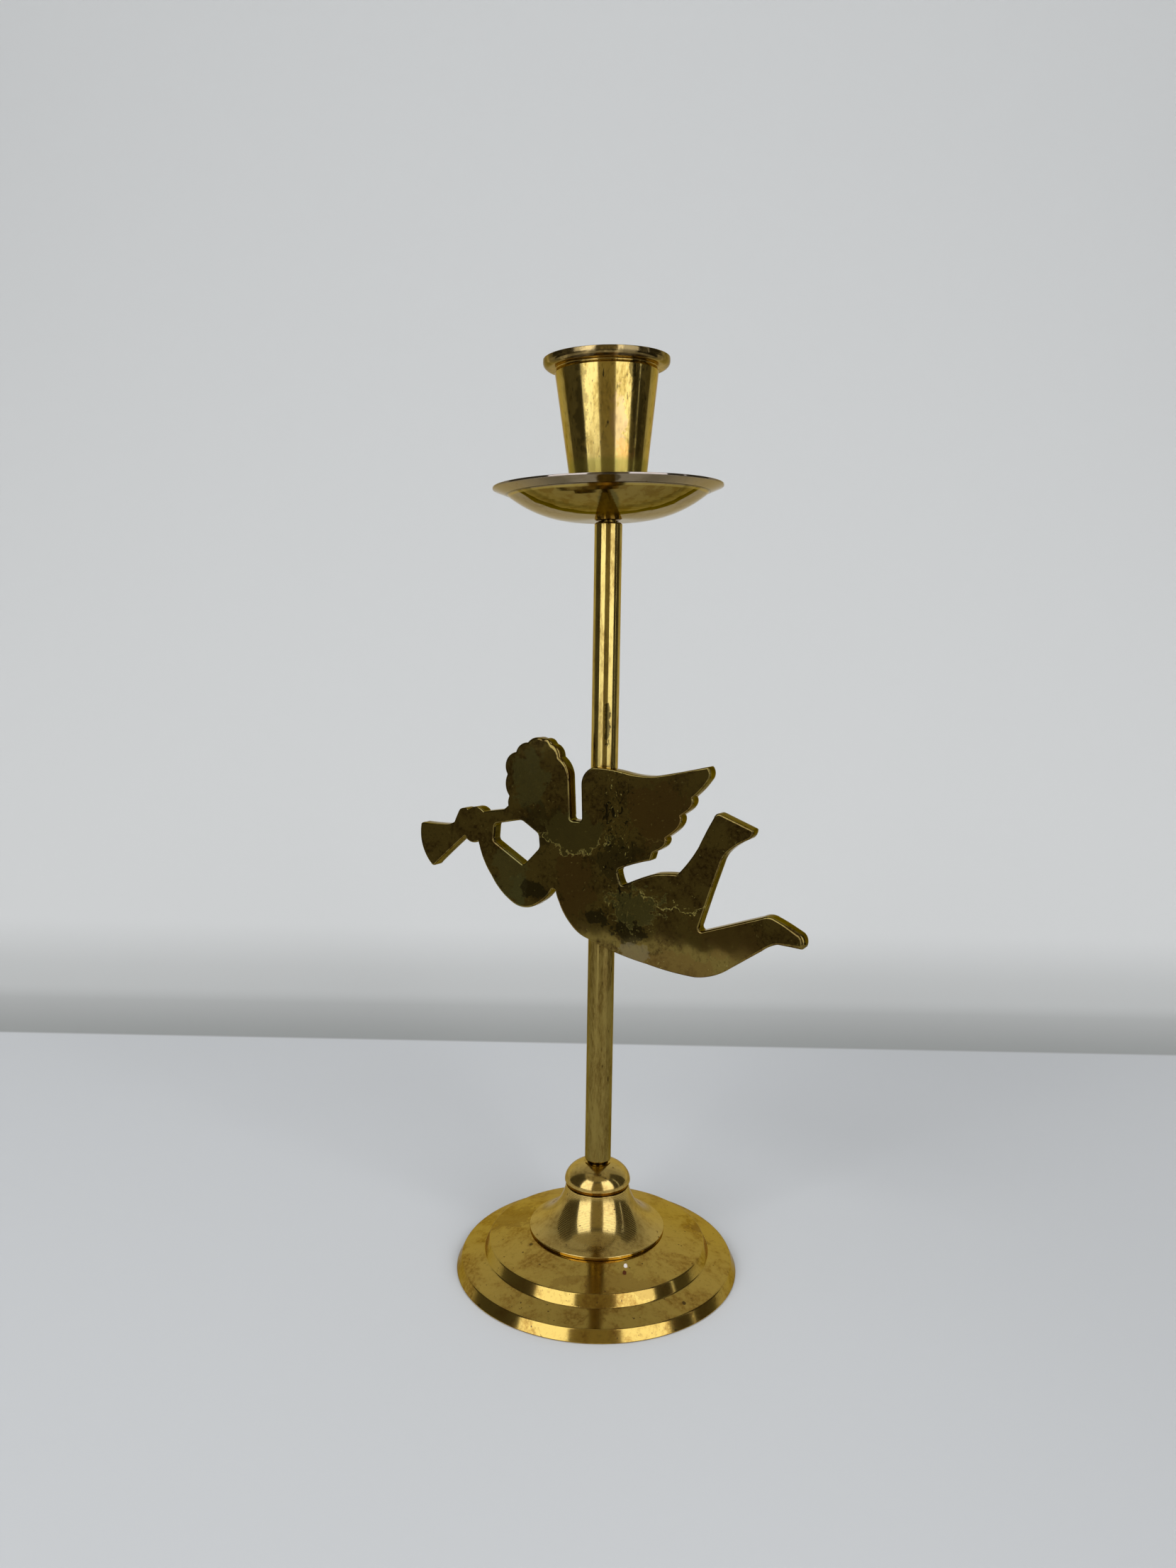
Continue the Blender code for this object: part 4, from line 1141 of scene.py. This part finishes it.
def screen(name, azimuths, heights, radius, color, strength):
    """Glowing part of a cylinder round the stem. Azimuth 0 is towards the camera."""
    angle = np.radians(np.linspace(*azimuths, 24))
    z = np.linspace(*heights, 2)
    points = np.empty((len(z), len(angle), 3))
    points[..., 0] = axis_x + radius * np.sin(angle)[None]
    points[..., 1] = axis_y - radius * np.cos(angle)[None]
    points[..., 2] = z[:, None]
    only_mirrored(stage_grid(name, points, plain(name, color, strength=strength)))


screen("dim_screen", (-112.0, 114.0), (-0.2, 3.0), 1.62, (1.0, 0.98, 0.85), 0.075)
screen("middle_screen", (-20.0, 20.0), (0.02, 1.9), 1.60, (1.0, 0.90, 0.60), 0.26)
panel_white = (0.69, 0.75, 1.0)
screen("left_panel", (-59.0, -20.0), (0.03, 2.4), 1.58, panel_white, 3.0)
screen("right_panel", (20.0, 58.0), (0.03, 2.4), 1.58, panel_white, 3.0)
screen("thin_panel", (78.0, 80.0), (0.03, 1.9), 1.58, panel_white, 1.6)


def floor_card(name, azimuths, near, color, strength, far=1.56):
    """Glowing sector of the floor; its near edge runs between two distances from the stem."""
    angle = np.radians(np.linspace(*azimuths, 16))
    reach = np.stack([np.linspace(*near, 16), np.full(16, far)])
    points = np.empty((2, 16, 3))
    points[..., 0] = axis_x + reach * np.sin(angle)
    points[..., 1] = axis_y - reach * np.cos(angle)
    points[..., 2] = card_lift
    only_mirrored(stage_grid(name, points[::-1], plain(name, color, strength=strength)))


card_lift = 0.0005
dusk = (1.0, 0.95, 0.8)
floor_card("far_left_floor", (-130.0, -72.0), (0.45, 0.41), dusk, 0.05)
floor_card("left_floor", (-72.0, -36.0), (0.41, 0.325), dusk, 0.16)
floor_card("left_sheen", (-36.0, -20.0), (0.40, 0.40), panel_white, 1.5)
floor_card("middle_floor", (-20.0, 20.0), (0.36, 0.36), dusk, 0.16)
floor_card("right_sheen", (20.0, 57.0), (0.40, 0.40), panel_white, 1.3)
floor_card("right_floor", (57.0, 136.0), (0.34, 0.34), dusk, 0.05)
dark_ceiling = np.array([[(-2.0, -0.15, 2.6), (2.0, -0.15, 2.6)], [(-2.0, -1.9, 2.5), (2.0, -1.9, 2.5)]])
only_mirrored(stage_grid("dark_ceiling", dark_ceiling, plain("dark_ceiling", dusk, strength=0.30)))


# %% Lamps and world
def lamp(name, place, aim, size, watts):
    """Soft light from a rectangle at place towards aim, unseen in mirrors and by the camera."""
    data = bpy.data.lights.new(name, "AREA")
    data.shape = "RECTANGLE"
    data.size, data.size_y = size
    data.energy = watts
    thing = bpy.data.objects.new(name, data)
    bpy.context.scene.collection.objects.link(thing)
    thing.location = place
    thing.rotation_mode = "QUATERNION"
    thing.rotation_quaternion = (Vector(aim) - Vector(place)).to_track_quat("-Z", "Y")
    thing.visible_glossy = False
    thing.visible_camera = False


lamp("left_soft_box", (-0.9, -1.2, 0.9), (0.0, 0.0, 0.1), (0.9, 1.2), 15.5)
lamp("right_soft_box", (0.9, -1.2, 0.9), (0.0, 0.0, 0.1), (0.9, 1.2), 15.5)

world = bpy.data.worlds.new("pale_room")
bpy.context.scene.world = world
world.use_nodes = True
background = world.node_tree.nodes["Background"]
background.inputs["Color"].default_value = (0.62, 0.63, 0.64, 1.0)
background.inputs["Strength"].default_value = 0.6

# %% [markdown]
# ## The camera
# The camera stands 300 mm in front of the stem and looks down a little, with a slight roll.

# %% Camera
picture_height = 2212
focal_pixels = 1631.49
sensor = 36.0
yaw, pitch, roll = -0.01404, 0.12299, 0.01511
distance, eye_height = 0.300, 0.16946
eye = Vector((axis_x, axis_y - distance, eye_height))
look = Vector((math.sin(yaw) * math.cos(pitch), math.cos(yaw) * math.cos(pitch), -math.sin(pitch)))
level = Vector((math.cos(yaw), -math.sin(yaw), 0.0))
upright = level.cross(look)
side = math.cos(roll) * level + math.sin(roll) * upright
head = -math.sin(roll) * level + math.cos(roll) * upright
camera_data = bpy.data.cameras.new("camera")
camera_data.sensor_width = sensor
camera_data.lens = focal_pixels / picture_height * sensor
camera_data.clip_start, camera_data.clip_end = 0.01, 20.0
camera = bpy.data.objects.new("camera", camera_data)
bpy.context.scene.collection.objects.link(camera)
camera.matrix_world = Matrix((
    (side.x, head.x, -look.x, eye.x),
    (side.y, head.y, -look.y, eye.y),
    (side.z, head.z, -look.z, eye.z),
    (0.0, 0.0, 0.0, 1.0),
))
bpy.context.scene.camera = camera
bpy.context.scene.view_settings.view_transform = "Standard"
